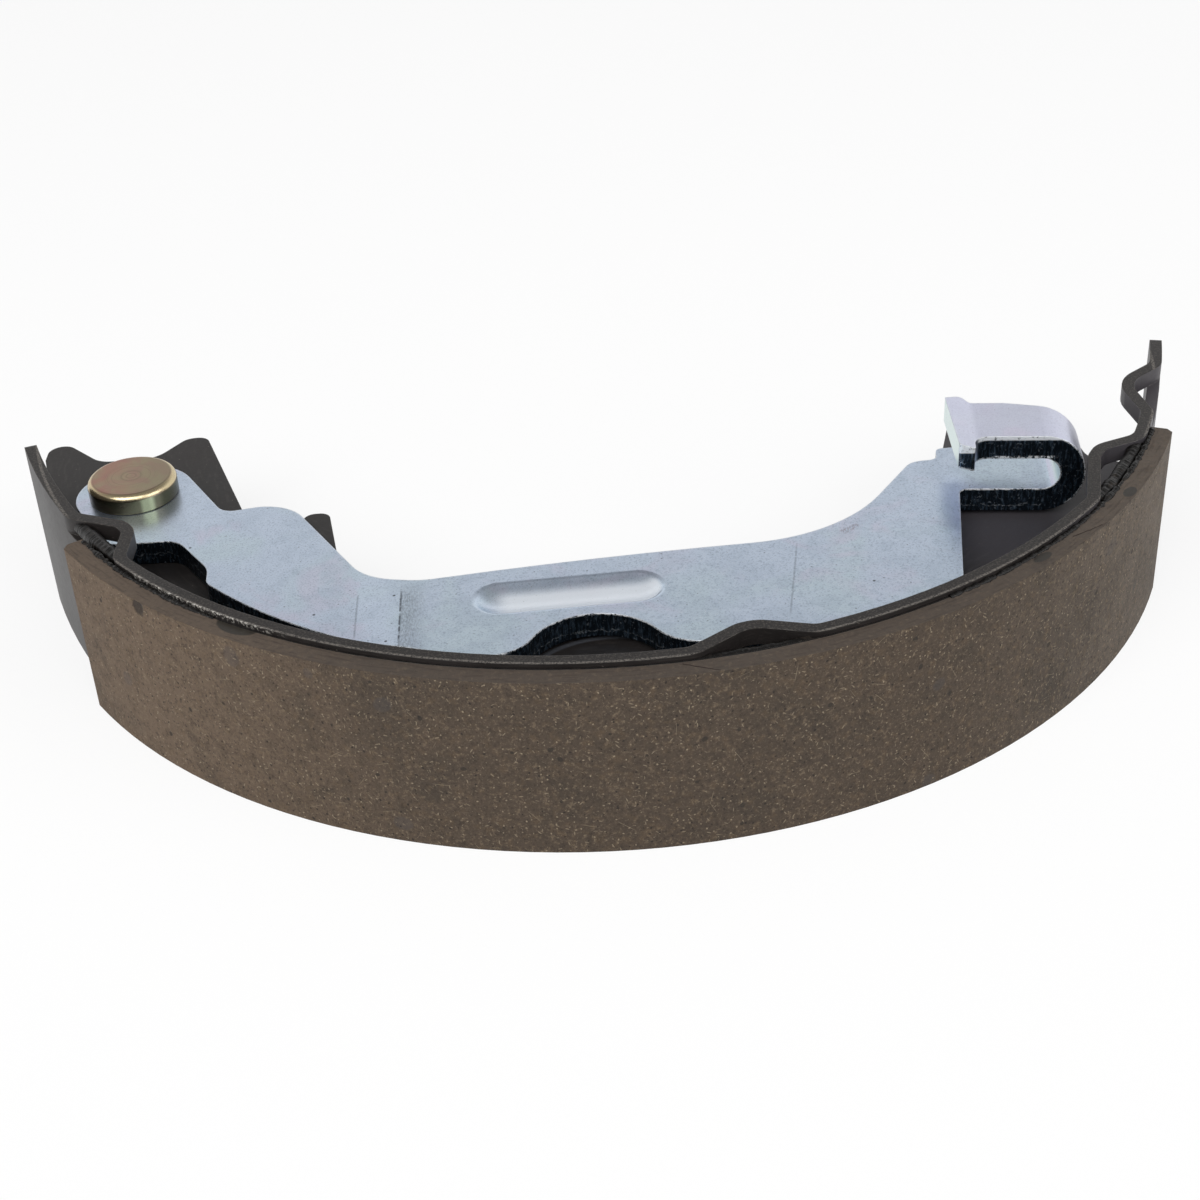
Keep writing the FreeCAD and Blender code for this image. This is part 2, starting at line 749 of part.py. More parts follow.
def make_clip():
    """A flat horseshoe clip in the groove at the pin's tail."""
    body = doc.addObject("PartDesign::Body", "retainer_clip")
    sketch = add_sketch(body, "clip_outline", "XY_Plane")
    outer, inner = size("clip_radius"), CLIP_BORE + size("clip_clearance")
    mouth = math.sqrt(outer ** 2 - inner ** 2)
    half_turn = math.atan2(inner, mouth)
    centre = V(0, 0, 0)
    rim = Part.Circle(centre, UP, outer)
    seat = Part.Circle(centre, UP, inner)
    sketch.addGeometry(Part.ArcOfCircle(rim, half_turn, 2 * math.pi - half_turn), False)
    sketch.addGeometry(Part.ArcOfCircle(seat, math.pi / 2, math.pi * 3 / 2), False)
    for side in (1, -1):
        sketch.addGeometry(Part.LineSegment(V(mouth, side * inner, 0), V(0, side * inner, 0)), False)
    plate = body.newObject("PartDesign::Pad", "clip_plate")
    plate.Profile = sketch
    plate.setExpression("Length", "Sizes.clip_thickness")
    turn = FreeCAD.Rotation(UP, size("clip_turn"))
    start = PIVOT + UP * (CLIP_BOTTOM - size("clip_seat_gap"))
    body.Placement = FreeCAD.Placement(start, turn)
    return body


# Friction lining

def make_lining():
    left, right = size("lining_left_angle"), size("lining_right_angle")
    inner, outer = RIM_OUTER + size("glue_line"), size("drum_radius")
    body = doc.addObject("PartDesign::Body", "friction_lining")
    sketch = add_sketch(body, "lining_section", "XZ_Plane")
    width = size("lining_width")
    draw_profile(sketch, [(inner, 0), (outer, 0), (outer, width), (inner, width)])
    block = revolve(body, sketch, "curved_block")
    block.setExpression("Angle", "Sizes.lining_right_angle - Sizes.lining_left_angle")
    block.Midplane = True
    doc.recompute()
    names = []
    for index, edge in enumerate(block.Shape.Edges, start=1):
        upright_line = abs(edge.Length - width) < 1e-4
        middle = edge.CenterOfMass
        if upright_line and abs(math.hypot(middle.x, middle.y) - outer) < 1e-4:
            names.append("Edge%d" % index)
    bevel = body.newObject("PartDesign::Chamfer", "end_bevels")
    bevel.Base = (block, names)
    bevel.setExpression("Size", "Sizes.lining_end_chamfer")
    turn = FreeCAD.Rotation(UP, (left + right) / 2 - 90)
    body.Placement = FreeCAD.Placement(V(0, 0, 0), turn)
    return body


def check_objects():
    for item in doc.Objects:
        if "Invalid" in item.State or "Error" in item.State:
            raise RuntimeError("%s failed: %s" % (item.Name, item.State))


def main():
    pieces = [
        add_feature("shoe_rim", rim_shape()),
        make_web(),
        make_lining(),
        make_lever(),
        make_pin(),
        make_washer(),
        make_clip(),
    ]
    doc.recompute()
    check_objects()
    box = FreeCAD.BoundBox()
    for piece in pieces:
        box.add(piece.Shape.optimalBoundingBox(False, False))
    to_origin = FreeCAD.Placement(V(-box.Center.x, -box.Center.y, 0), FreeCAD.Rotation())
    for piece in pieces:
        piece.Placement = to_origin.multiply(piece.Placement)
    doc.recompute()
    check_objects()
    os.makedirs("parts", exist_ok=True)
    for piece in pieces:
        shape = piece.Shape
        if shape.isNull() or not shape.isValid():
            raise RuntimeError("%s has no valid shape" % piece.Label)
        print(piece.Label, len(shape.Solids), "solid(s)", round(shape.Volume, 1), "mm3")
        shape.exportStep("parts/%s.step" % piece.Label)
    print("drum axis at", round(-box.Center.x, 3), round(-box.Center.y, 3))
    print("size", round(box.XLength, 2), round(box.YLength, 2), round(box.ZLength, 2))


main()
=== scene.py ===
import json
import math
from functools import reduce
from types import SimpleNamespace

import bpy
from bpy.props import FloatProperty, FloatVectorProperty, PointerProperty
from mathutils import Matrix, Vector


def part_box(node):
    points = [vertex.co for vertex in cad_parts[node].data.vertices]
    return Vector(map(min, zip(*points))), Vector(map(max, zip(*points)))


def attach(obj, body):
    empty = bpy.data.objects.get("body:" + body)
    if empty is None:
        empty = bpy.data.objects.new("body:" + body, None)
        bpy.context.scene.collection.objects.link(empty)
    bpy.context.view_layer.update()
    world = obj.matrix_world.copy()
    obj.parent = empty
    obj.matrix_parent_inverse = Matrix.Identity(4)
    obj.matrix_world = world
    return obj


bl_info = {
    "name": "Brake shoe finish",
    "version": (1, 0, 0),
    "blender": (4, 5, 0),
    "location": "3D View > Sidebar > Brake shoe",
    "description": "Surface finishes, adhesive and studio for a drum brake shoe with its parking lever",
    "category": "Object",
}

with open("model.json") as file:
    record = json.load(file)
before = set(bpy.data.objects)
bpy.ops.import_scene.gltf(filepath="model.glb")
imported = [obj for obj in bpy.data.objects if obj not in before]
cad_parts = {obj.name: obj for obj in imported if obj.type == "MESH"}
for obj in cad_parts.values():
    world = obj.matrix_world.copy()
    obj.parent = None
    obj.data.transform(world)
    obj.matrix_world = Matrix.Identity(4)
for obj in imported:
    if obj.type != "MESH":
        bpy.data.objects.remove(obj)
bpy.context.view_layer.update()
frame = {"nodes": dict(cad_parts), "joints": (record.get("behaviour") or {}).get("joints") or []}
MM = 0.001

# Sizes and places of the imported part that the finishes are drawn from, in metres
PIVOT = Vector(frame["joints"][0]["pos_m"])
LINING_LOW, LINING_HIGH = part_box("friction_lining")
LEVER_LOW, LEVER_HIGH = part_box("parking_lever")
DRUM_RADIUS = 100.0 * MM
LINING_THICKNESS = 3.45 * MM
LINING_BACK_RADIUS = DRUM_RADIUS - LINING_THICKNESS
PIVOT_TO_DRUM_AXIS = 80.22 * MM
DRUM_AXIS = Vector((PIVOT.x + PIVOT_TO_DRUM_AXIS, LINING_LOW.y + DRUM_RADIUS, 0.0))
PLATE_THICKNESS = 4.0 * MM
JOGGLE = 0.8 * MM
LEVER_FACE = LEVER_LOW.z + PLATE_THICKNESS + JOGGLE
HOOK_TURN = math.radians(-11.0)
LEAF_LENGTH = 15.0 * MM
HEAD_RISE = 1.55 * MM
HOOK_TOP = LEVER_HIGH.z - HEAD_RISE
SEED = 4


def spot(radius_mm, degrees):
    """Plan place at a distance from the drum axis and an angle from the middle of the shoe."""
    turn = math.radians(degrees)
    radius = radius_mm * MM
    return DRUM_AXIS.x + radius * math.sin(turn), DRUM_AXIS.y - radius * math.cos(turn)


# Marks on the real part, and places of painted shade and a painted highlight, each as distance from the drum
# axis in mm and angle from the middle
LEVER_PITS = ((78.2, 26.1), (79.9, -38.5), (79.8, -60.9), (82.4, -28.3), (71.2, -31.8))
LEVER_SCRATCH = ((64.4, 30.4), (64.5, 34.0))
# Painted shade beside the hook's fold
FOLD_SHADE = ((68.2, 52.0), (77.1, 40.0))
GROOVE = ((70.0, -20.5), (66.5, 5.2))
FAINT_LINES = (((71.4, -37.0), (83.6, -31.6)), ((61.9, 24.3), (80.8, 14.3)))
# Middle of a painted highlight ring on the web
WEB_RING = (85.5, -4.7)
HOOK_ROOT = (82.5, 54.3)
WEB_RING_RADIUS = 14.6 * MM
# The joggle's crest: how far it lies west of the drum axis, and its shift for each step back
CREST_WEST, CREST_SLOPE = 32.87 * MM, 0.0591


def srgb(code):
    """Linear colour from a six-digit hex code."""
    channels = [int(code[i:i + 2], 16) / 255 for i in (0, 2, 4)]
    return tuple(c / 12.92 if c <= 0.04045 else ((c + 0.055) / 1.055) ** 2.4 for c in channels)


def tints(**codes):
    """Named linear colours from hex codes."""
    return SimpleNamespace(**{name: srgb(code) for name, code in codes.items()})


# Lesser colours, which break up the main ones
LINING_TINTS = tints(
    ochre="66543F", straw="84745F", umber="2C2622", side="58504A", tan_grit="8A7B65", smudge="4A4747",
    stone="2F2A25", streak="3C332E", stain="27241F", crack="2A1D18")
# The paint's tint towards the hook end is painted light, and its ring tint a painted highlight.
PAINT_TINTS = tints(
    streak="4B4744", speck="7A746C", rim_edge="1D1A19", scuff="5C5651", border="88827B",
    hook_end="555257", ring="656B74")
# The lever's tints for the joggle's band and crest, the fold and the groove's near edge are painted shade,
# and its tint for the head's end is painted light.
LEVER_TINTS = tints(
    tone="B5C4D6", mottle="B1C0D0", dark_grain="8F9DAE", bright="EDF2F8", fine_scratch="D8E0E6",
    spot="3C424C", rubbed="747A85", crest="454A53", faint_line="565C66", fold_streak="8A9CB2",
    scratch="8F8088", pit="23262C", groove_border="4F5761", head_end="D6E6E0", leaf="DDD6EA")
# On the cut faces, the strand tints are painted sheen, and the spark and burred-edge tints painted
# highlights.
CUT_TINTS = tints(
    strand="566A7E", bright_strand="A3B4C4", torn_line="B9C2C8", spark="B4C0CB", rear="94A2B0",
    burr="EEF2F6")
# The pin's bevel and gleam tints are painted highlights.
PIN_TINTS = tints(
    blush="B0706C", ring="7F7360", olive="8C896F", bevel="DBCCA4", wall="474B38", gleam="BDC198")
SPRING_TINTS = tints(dark="4E4E50", light="6E6D6B", edge="A9A49C")
ADHESIVE_TINTS = tints(skin="3A332D", grain="6A6157")


def colour_property(name, description, code):
    return FloatVectorProperty(
        name=name, description=description, default=srgb(code), subtype="COLOR", size=3, min=0, max=1)


def length_property(name, description, metres):
    return FloatProperty(
        name=name, description=description, default=metres, unit="LENGTH", subtype="DISTANCE",
        min=0, precision=5)


class ShoeColours(bpy.types.PropertyGroup):
    lining: colour_property("Lining", "Matrix of the friction compound", "4C4137")
    lining_dark: colour_property("Lining, dark", "Darker clouds of the compound", "39332D")
    lining_warm: colour_property("Lining, warm", "Reddish compound towards the pivot end", "705F4F")
    lining_grey: colour_property("Lining, grey", "Greyer compound towards the hook end", "655B51")
    fibre: colour_property("Fibre", "Mineral fibres in the lining", "A0917A")
    grain: colour_property("Grain", "Dark grains in the lining", "241F1C")
    paint: colour_property("Paint", "Coating of rim and web", "221F1E")
    paint_light: colour_property("Paint, light", "Thinner clouds of the coating", "312D2C")
    paint_worn: colour_property("Worn paint", "Steel that shows through at the edges", "8F8A83")
    bare_steel: colour_property("Bare steel", "Bright steel where the paint is chipped", "F2EEE6")
    zinc: colour_property("Zinc", "Plating of the lever", "CEDBED")
    zinc_green: colour_property("Zinc, green", "Greenish cast in the plating", "CBDDE5")
    zinc_pink: colour_property("Zinc, pink", "Pinkish cast in the plating", "D6D4E8")
    sheared: colour_property("Sheared edge", "Torn part of a cut edge", "222B34")
    chromate: colour_property("Chromate", "Yellow plating of the pin", "A5947A")
    chromate_pink: colour_property("Chromate, pink", "Pink cast on the pin", "A88A7A")
    adhesive: colour_property("Adhesive", "Bonding adhesive at the joint", "0D0B0A")


class ShoeSizes(bpy.types.PropertyGroup):
    fibre_spacing: length_property("Fibre spacing", "Mean distance between fibres", 1.25 * MM)
    fibre_length: length_property("Fibre length", "Half length of a fibre", 0.3 * MM)
    fibre_width: length_property("Fibre width", "Half width of a fibre", 0.07 * MM)
    edge_softness: length_property("Edge softness", "Radius of the plates' softened edges", 0.25 * MM)
    bead_radius: length_property("Bead radius", "Largest radius of the adhesive bead", 0.75 * MM)
    lump_size: length_property("Lump size", "Distance between lumps of adhesive", 2.0 * MM)
    turning_pitch: length_property("Turning pitch", "Distance between turning marks on the pin", 0.34 * MM)


def power_property(name, watts):
    return FloatProperty(
        name=name, description=f"Power of the {name.lower()} lamp", default=watts, unit="POWER")


class StageSettings(bpy.types.PropertyGroup):
    floor: colour_property("Floor", "Colour of floor and backdrop", "FAFAFA")
    world_strength: FloatProperty(name="Room light", description="Even light of the room", default=0.35)
    overhead: FloatProperty(
        name="Overhead", description="Brightness of the room overhead, as metal reflects it", default=0.25)
    key_watts: power_property("Key", 6.5)
    fill_watts: power_property("Fill", 3.0)
    front_watts: power_property("Front", 3.5)
    lens: FloatProperty(name="Lens", description="Focal length in millimetres", default=58.39)
    heading: FloatProperty(
        name="Heading", description="Camera's turn from +Y towards +X", default=0.0836, unit="ROTATION")
    pitch: FloatProperty(
        name="Pitch", description="Camera's tilt downwards", default=math.radians(32.65), unit="ROTATION")
    roll: FloatProperty(
        name="Roll", description="Camera's turn about its view", default=-0.0569, unit="ROTATION")
    camera_x: length_property("Camera to the left", "Camera's distance left of the drum axis", 27.33 * MM)
    camera_y: length_property("Camera in front", "Camera's distance in front of the drum axis", 312.42 * MM)
    camera_z: length_property("Camera height", "Camera's height over the floor", 179.35 * MM)


# Nodes and shader maths

def add_node(tree, kind, settings, inputs):
    """Any node of a tree: its settings come first, then its sockets' values or links."""
    made = tree.nodes.new(kind)
    for name, value in settings.items():
        setattr(made, name, value)
    for key, value in inputs.items():
        socket = made.inputs[key]
        if isinstance(value, bpy.types.NodeSocket):
            tree.links.new(value, socket)
        elif socket.type == "RGBA" and len(value) == 3:
            socket.default_value = (*value, 1.0)
        else:
            socket.default_value = value
    return made


class Value:
    """A shader socket that can be used in sums with other sockets and numbers."""

    def __init__(self, finish, socket):
        self.finish = finish
        self.socket = socket

    def math(self, operation, *others):
        return self.finish.node("ShaderNodeMath", {"operation": operation}, [self, *others])

    def __add__(self, other):
        return self.math("ADD", other)

    def __sub__(self, other):
        return self.math("SUBTRACT", other)

    def __mul__(self, other):
        return self.math("MULTIPLY", other)

    def __truediv__(self, other):
        return self.math("DIVIDE", other)

    def __rsub__(self, other):
        return self.finish.node("ShaderNodeMath", {"operation": "SUBTRACT"}, [other, self])

    __radd__ = __add__
    __rmul__ = __mul__

    def step(self, low, high):
        """0 below low, 1 above high and smooth between. A high below low falls instead."""
        return self.finish.node(
            "ShaderNodeMapRange", {"interpolation_type": "SMOOTHSTEP"},
            {"Value": self, "From Min": low, "From Max": high})

    def band(self, middle, half_width, softness):
        """1 within half_width of the middle, and 0 past the softness beyond it."""
        return (self - middle).math("ABSOLUTE").step(half_width + softness, half_width)

    def hypotenuse(self, other):
        """Distance that two offsets at right angles make."""
        return (self * self + other * other).math("SQRT")


def strongest(masks):
    """The highest of several masks at each place."""
    return reduce(lambda first, second: first.math("MAXIMUM", second), masks)


class Finish:
    """One material: its nodes and the fields that they draw."""

    def __init__(self, name):
        self.material = bpy.data.materials.new(name)
        self.material.use_nodes = True
        self.tree = self.material.node_tree
        self.tree.nodes.clear()
        self.place = self.node("ShaderNodeTexCoord", {}, {}, "Object")
        self.x, self.y, self.z = self.split(self.place)

    def node(self, kind, settings, inputs, output=0):
        """One output of a new node, whose inputs are given by name or in order."""
        pairs = inputs.items() if isinstance(inputs, dict) else enumerate(inputs)
        sockets = {key: value.socket if isinstance(value, Value) else value for key, value in pairs}
        return Value(self, add_node(self.tree, kind, settings, sockets).outputs[output])

    def split(self, vector):
        source = self.node("ShaderNodeSeparateXYZ", {}, [vector])
        outputs = source.socket.node.outputs
        return [Value(self, outputs[axis]) for axis in ("X", "Y", "Z")]

    def join(self, x, y, z=0.0):
        return self.node("ShaderNodeCombineXYZ", {}, [x, y, z])

    def plan(self):
        return self.join(self.x, self.y)

    def vector(self, operation, *values, output=0):
        return self.node("ShaderNodeVectorMath", {"operation": operation}, list(values), output)

    def mix(self, factor, first, second):
        """Two colours mixed by a factor. Sockets 6 and 7 and output 2 are the colours."""
        return self.node("ShaderNodeMix", {"data_type": "RGBA"}, {0: factor, 6: first, 7: second}, 2)

    def noise(self, size, detail, distortion=0.0, roughness=0.5, seed=0, place=None):
        """Cloudy noise with features of about that size in metres, on the piece's own places."""
        place = self.place if place is None else place
        if seed:
            place = self.shifted(place, seed)
        return self.node(
            "ShaderNodeTexNoise", {},
            {"Vector": place, "Scale": 1 / size, "Detail": detail, "Roughness": roughness,
             "Distortion": distortion})

    def shifted(self, place, seed):
        """The same place in another part of the noise."""
        return self.vector("ADD", place, (seed * 0.37, seed * 0.71, seed * 0.53))

    def stretched(self, x, y, z):
        return self.vector("MULTIPLY", self.place, (x, y, z))

    def normal(self):
        """The surface's normal, in world space."""
        return self.node("ShaderNodeNewGeometry", {}, {}, "Normal")

    def soft_normal(self, radius):
        """The same with the piece's edges rounded."""
        return self.node("ShaderNodeBevel", {"samples": 6}, {"Radius": radius})

    def edges(self, radius, low=0.03, high=0.2):
        """1 along the edges of a piece, 0 on its faces."""
        along = self.vector("DOT_PRODUCT", self.soft_normal(radius), self.normal(), output="Value")
        return (1 - along).step(low, high)

    def flecks(self, place, spacing, length, width, share, seed):
        """Short straight flecks in random directions: mask and a random number for each."""
        moved = self.shifted(place, seed)
        cell = self.node(
            "ShaderNodeTexVoronoi", {"voronoi_dimensions": "2D"},
            {"Vector": moved, "Scale": 1 / spacing, "Randomness": 1.0}, "Position").socket.node
        centre = Value(self, cell.outputs["Position"])
        chance, turn, other = self.split(Value(self, cell.outputs["Color"]))
        offset_x, offset_y, _ = self.split(self.vector("SUBTRACT", moved, centre))
        angle = turn * (2 * math.pi)
        sine, cosine = angle.math("SINE"), angle.math("COSINE")
        scale = other * 0.7 + 0.55
        along = (offset_x * cosine + offset_y * sine) / (scale * length)
        across = (offset_y * cosine - offset_x * sine) / (scale * width)
        shape = (along * along + across * across).step(1.15, 0.6)
        return shape * chance.step(share, share - 0.01), other

    def away_from(self, centre):
        """Plan offsets from a place."""
        return self.x - centre[0], self.y - centre[1]

    def dot(self, centre, radius):
        """1 within a radius of a plan place, with a soft border."""
        east, north = self.away_from(centre)
        return east.hypotenuse(north).step(radius * 1.25, radius * 0.6)

    def stroke(self, start, end, half_width, softness):
        """1 along a straight plan stroke between two places, with soft sides and ends."""
        along = Vector((end[0] - start[0], end[1] - start[1]))
        length = along.length
        along.normalize()
        east, north = self.away_from(((start[0] + end[0]) / 2, (start[1] + end[1]) / 2))
        reach = (east * along.x + north * along.y).math("ABSOLUTE")
        aside = (north * along.x - east * along.y).math("ABSOLUTE")
        return reach.step(length * 0.5, length * 0.35) * aside.step(half_width + softness, half_width)

    def surface(self, colour, roughness, metallic, normal, specular=0.5):
        """The shader at the end. Specular is a constant of the whole piece."""
        self.output(self.node("ShaderNodeBsdfPrincipled", {}, {
            "Base Color": colour, "Roughness": roughness, "Metallic": metallic, "Normal": normal,
            "Specular IOR Level": specular}))
        return self.material

    def output(self, shader):
        end = self.tree.nodes.new("ShaderNodeOutputMaterial")
        self.tree.links.new(shader.socket, end.inputs["Surface"])

    def bump(self, height, distance, strength, normal=None):
        inputs = {"Height": height, "Distance": distance, "Strength": strength}
        if normal is not None:
            inputs["Normal"] = normal
        return self.node("ShaderNodeBump", {}, inputs)

    def round_the_drum(self):
        """Angle about the drum axis from the middle of the shoe, and distance from that axis."""
        east, north = self.away_from(DRUM_AXIS)
        return east.math("ARCTAN2", north * -1), east.hypotenuse(north)

    def background_rays(self):
        """1 for the camera's rays, and for those off metal and through glass."""
        path = self.node("ShaderNodeLightPath", {}, {}, "Is Camera Ray")
        outputs = path.socket.node.outputs
        glossy, through = (Value(self, outputs[name]) for name in ("Is Glossy Ray", "Is Transmission Ray"))
        return path.math("MAXIMUM", glossy).math("MAXIMUM", through)


def dress(node, material):
    """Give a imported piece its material."""
    piece = frame["nodes"][node]
    if not piece.material_slots:
        piece.data.materials.append(material)
    for slot in piece.material_slots:
        slot.material = material


# Friction lining

# Stains of squeezed-out adhesive on the lining's side face:
# angle of the middle, distance from the drum axis, half length and half height, in degrees and mm
STAINS = ((-37.9, 96.7, 3.6, 2.0), (35.4, 98.0, 1.9, 0.8), (49.6, 98.9, 1.7, 0.9))
# Hairline cracks on that face: first and last angle, first and last distance
CRACKS = ((40.0, 43.0, 98.0, 99.5), (0.9, 3.5, 97.3, 99.7))
# The pit in the drum face: angle from the middle, and mm below the lining's upper side
PIT_ANGLE, PIT_DROP = -48.1, 1.1


def lining_stains(angle, radius):
    """Dark smooth ovals beside the joint."""
    ovals = []
    for degrees, distance, half_length, half_height in STAINS:
        along = (angle - math.radians(degrees)) * (distance / half_length)
        across = (radius - distance * MM) / (half_height * MM)
        ovals.append((along * along + across * across).step(1.1, 0.85))
    return strongest(ovals)


def lining_cracks(finish, angle, radius):
    """Thin wandering lines across the side face."""
    lines = []
    wander = (finish.noise(1.5 * MM, 2) - 0.5) * (0.5 * MM)
    for first, last, low, high in CRACKS:
        middle = math.radians((first + last) / 2)
        slope = (high - low) * MM / math.radians(last - first)
        level = (angle - middle) * slope + (low + high) / 2 * MM
        across = (radius - level + wander).math("ABSOLUTE").step(0.16 * MM, 0.05 * MM)
        lines.append(across * angle.band(middle, math.radians(last - first) / 2, 0.004))
    return sum(lines[1:], lines[0])


def lining_pit(finish, angle, patches):
    """A broken-out pit with a ragged border."""
    along = (angle - math.radians(PIT_ANGLE)) * DRUM_RADIUS
    down = finish.z - (LINING_HIGH.z - PIT_DROP * MM)
    ragged = (patches - 0.5) * (2.2 * MM)
    return (along.hypotenuse(down) + ragged).step(1.6 * MM, 0.9 * MM)


def compound_ground(finish, colours, angle, patches):
    """Colour of the compound itself: its drift from end to end, its clouds and its mottle."""
    clouds = finish.noise(24 * MM, 3, distortion=0.4)
    smoke = finish.noise(9 * MM, 3, seed=2)
    hues = finish.noise(1.3 * MM, 3, roughness=0.6, seed=8)
    mottle = finish.noise(0.75 * MM, 4, roughness=0.65, seed=12)
    soot = clouds.step(0.5, 0.68) * 0.4 + smoke.step(0.55, 0.72) * 0.4
    colour = finish.mix(angle.step(-0.15, -1.0), colours.lining, colours.lining_warm)
    colour = finish.mix(angle.step(0.35, 1.05), colour, colours.lining_grey)
    colour = finish.mix(soot, colour, colours.lining_dark)
    colour = finish.mix(patches.step(0.45, 0.72) * 0.35, colour, colours.lining_dark)
    colour = finish.mix(hues.step(0.5, 0.7) * 0.3, colour, LINING_TINTS.ochre)
    colour = finish.mix(mottle.step(0.54, 0.68) * 0.4, colour, LINING_TINTS.straw)
    return finish.mix(mottle.step(0.46, 0.34) * 0.45, colour, LINING_TINTS.umber)


def friction_material(colours, sizes):
    """Ground compound on the drum face, moulded compound with streaks and stains on the sides."""
    finish = Finish("friction_compound")
    angle, radius = finish.round_the_drum()
    unrolled = finish.join(angle * DRUM_RADIUS, finish.z + radius)
    _, _, up = finish.split(finish.normal())
    side = up.math("ABSOLUTE").step(0.5, 0.8)
    face = 1 - side

    patches = finish.noise(2.6 * MM, 4, roughness=0.6, seed=5)
    grit = finish.noise(0.34 * MM, 3, roughness=0.75)
    colour = compound_ground(finish, colours, angle, patches)
    colour = finish.mix(side * 0.55, colour, LINING_TINTS.side)
    colour = finish.mix(grit.step(0.56, 0.72) * (face * 0.4 + 0.08), colour, LINING_TINTS.tan_grit)
    colour = finish.mix(grit.step(0.44, 0.3) * (face * 0.55 + 0.15), colour, colours.grain)

    fibres, shade = finish.flecks(
        unrolled, sizes.fibre_spacing, sizes.fibre_length, sizes.fibre_width, share=0.42, seed=1)
    dust, dust_shade = finish.flecks(unrolled, 0.85 * MM, 0.14 * MM, 0.1 * MM, share=0.3, seed=2)
    threads, _ = finish.flecks(unrolled, 4.2 * MM, 1.3 * MM, 0.05 * MM, share=0.3, seed=11)
    grains, _ = finish.flecks(unrolled, 1.5 * MM, 0.2 * MM, 0.15 * MM, share=0.3, seed=3)
    stones, _ = finish.flecks(unrolled, 6.5 * MM, 0.42 * MM, 0.34 * MM, share=0.3, seed=4)
    smudges, _ = finish.flecks(unrolled, 13.0 * MM, 1.5 * MM, 1.2 * MM, share=0.3, seed=9)
    colour = finish.mix(smudges * face * 0.35, colour, LINING_TINTS.smudge)
    colour = finish.mix(fibres * face * (shade * 0.5 + 0.1), colour, colours.fibre)
    colour = finish.mix(threads * face * 0.35, colour, colours.fibre)
    colour = finish.mix(dust * face * (dust_shade * 0.5 + 0.2), colour, colours.fibre)
    colour = finish.mix(grains * face * 0.75, colour, colours.grain)
    colour = finish.mix(stones * face * 0.8, colour, LINING_TINTS.stone)

    streaks = finish.noise(0.5 * MM, 3, place=finish.join(angle * (DRUM_RADIUS * 0.12), radius))
    colour = finish.mix(side * streaks.step(0.52, 0.66) * 0.4, colour, LINING_TINTS.streak)
    stains = lining_stains(angle, radius) * side
    colour = finish.mix(stains * 0.9, colour, LINING_TINTS.stain)
    cracks = lining_cracks(finish, angle, radius) * side
    colour = finish.mix(cracks * 0.85, colour, LINING_TINTS.crack)
    pit = lining_pit(finish, angle, patches)
    colour = finish.mix(pit * face * (grit * 0.6 + 0.5), colour, colours.grain)

    height = grit * (face * 0.4 + 0.12) + patches * 0.4 + fibres * 0.2 - grains * 0.5 - stones * 0.5
    height = height - cracks * 1.5 - pit * face * 3.0
    normal = finish.bump(height, 0.1 * MM, 0.7, finish.soft_normal(sizes.edge_softness))
    roughness = patches * 0.2 + 0.66 - stains * 0.35
    return finish.surface(colour, roughness, 0.0, normal, specular=0.3)


# Rim and web

# Where the rim's outer corner is rubbed down to bright steel, in degrees
RUBBED_FROM, RUBBED_TO = -51.0, -34.0


def rubbed_corner(finish, angle, radius):
    """Glints of bright steel on the rim's outer corner."""
    corner = radius.band(LINING_BACK_RADIUS, 0.2 * MM, 0.15 * MM) * finish.z.step(
        LINING_HIGH.z, LINING_HIGH.z + 0.4 * MM)
    middle = math.radians((RUBBED_FROM + RUBBED_TO) / 2)
    reach = math.radians(RUBBED_TO - RUBBED_FROM) / 2
    glints = finish.noise(0.5 * MM, 3, roughness=0.7, seed=6)
    return corner * angle.band(middle, reach * 0.7, reach * 0.5) * glints.step(0.5, 0.62)


def web_ring_highlight(finish):
    """A painted highlight: a light ring on the web inside the lever's recess, as far as it shows."""
    east, north = finish.away_from(spot(*WEB_RING))
    ring = east.hypotenuse(north).band(WEB_RING_RADIUS, 0.25 * MM, 0.4 * MM)
    return ring * finish.z.step(LEVER_LOW.z + 0.6 * MM, LEVER_LOW.z + 0.3 * MM)


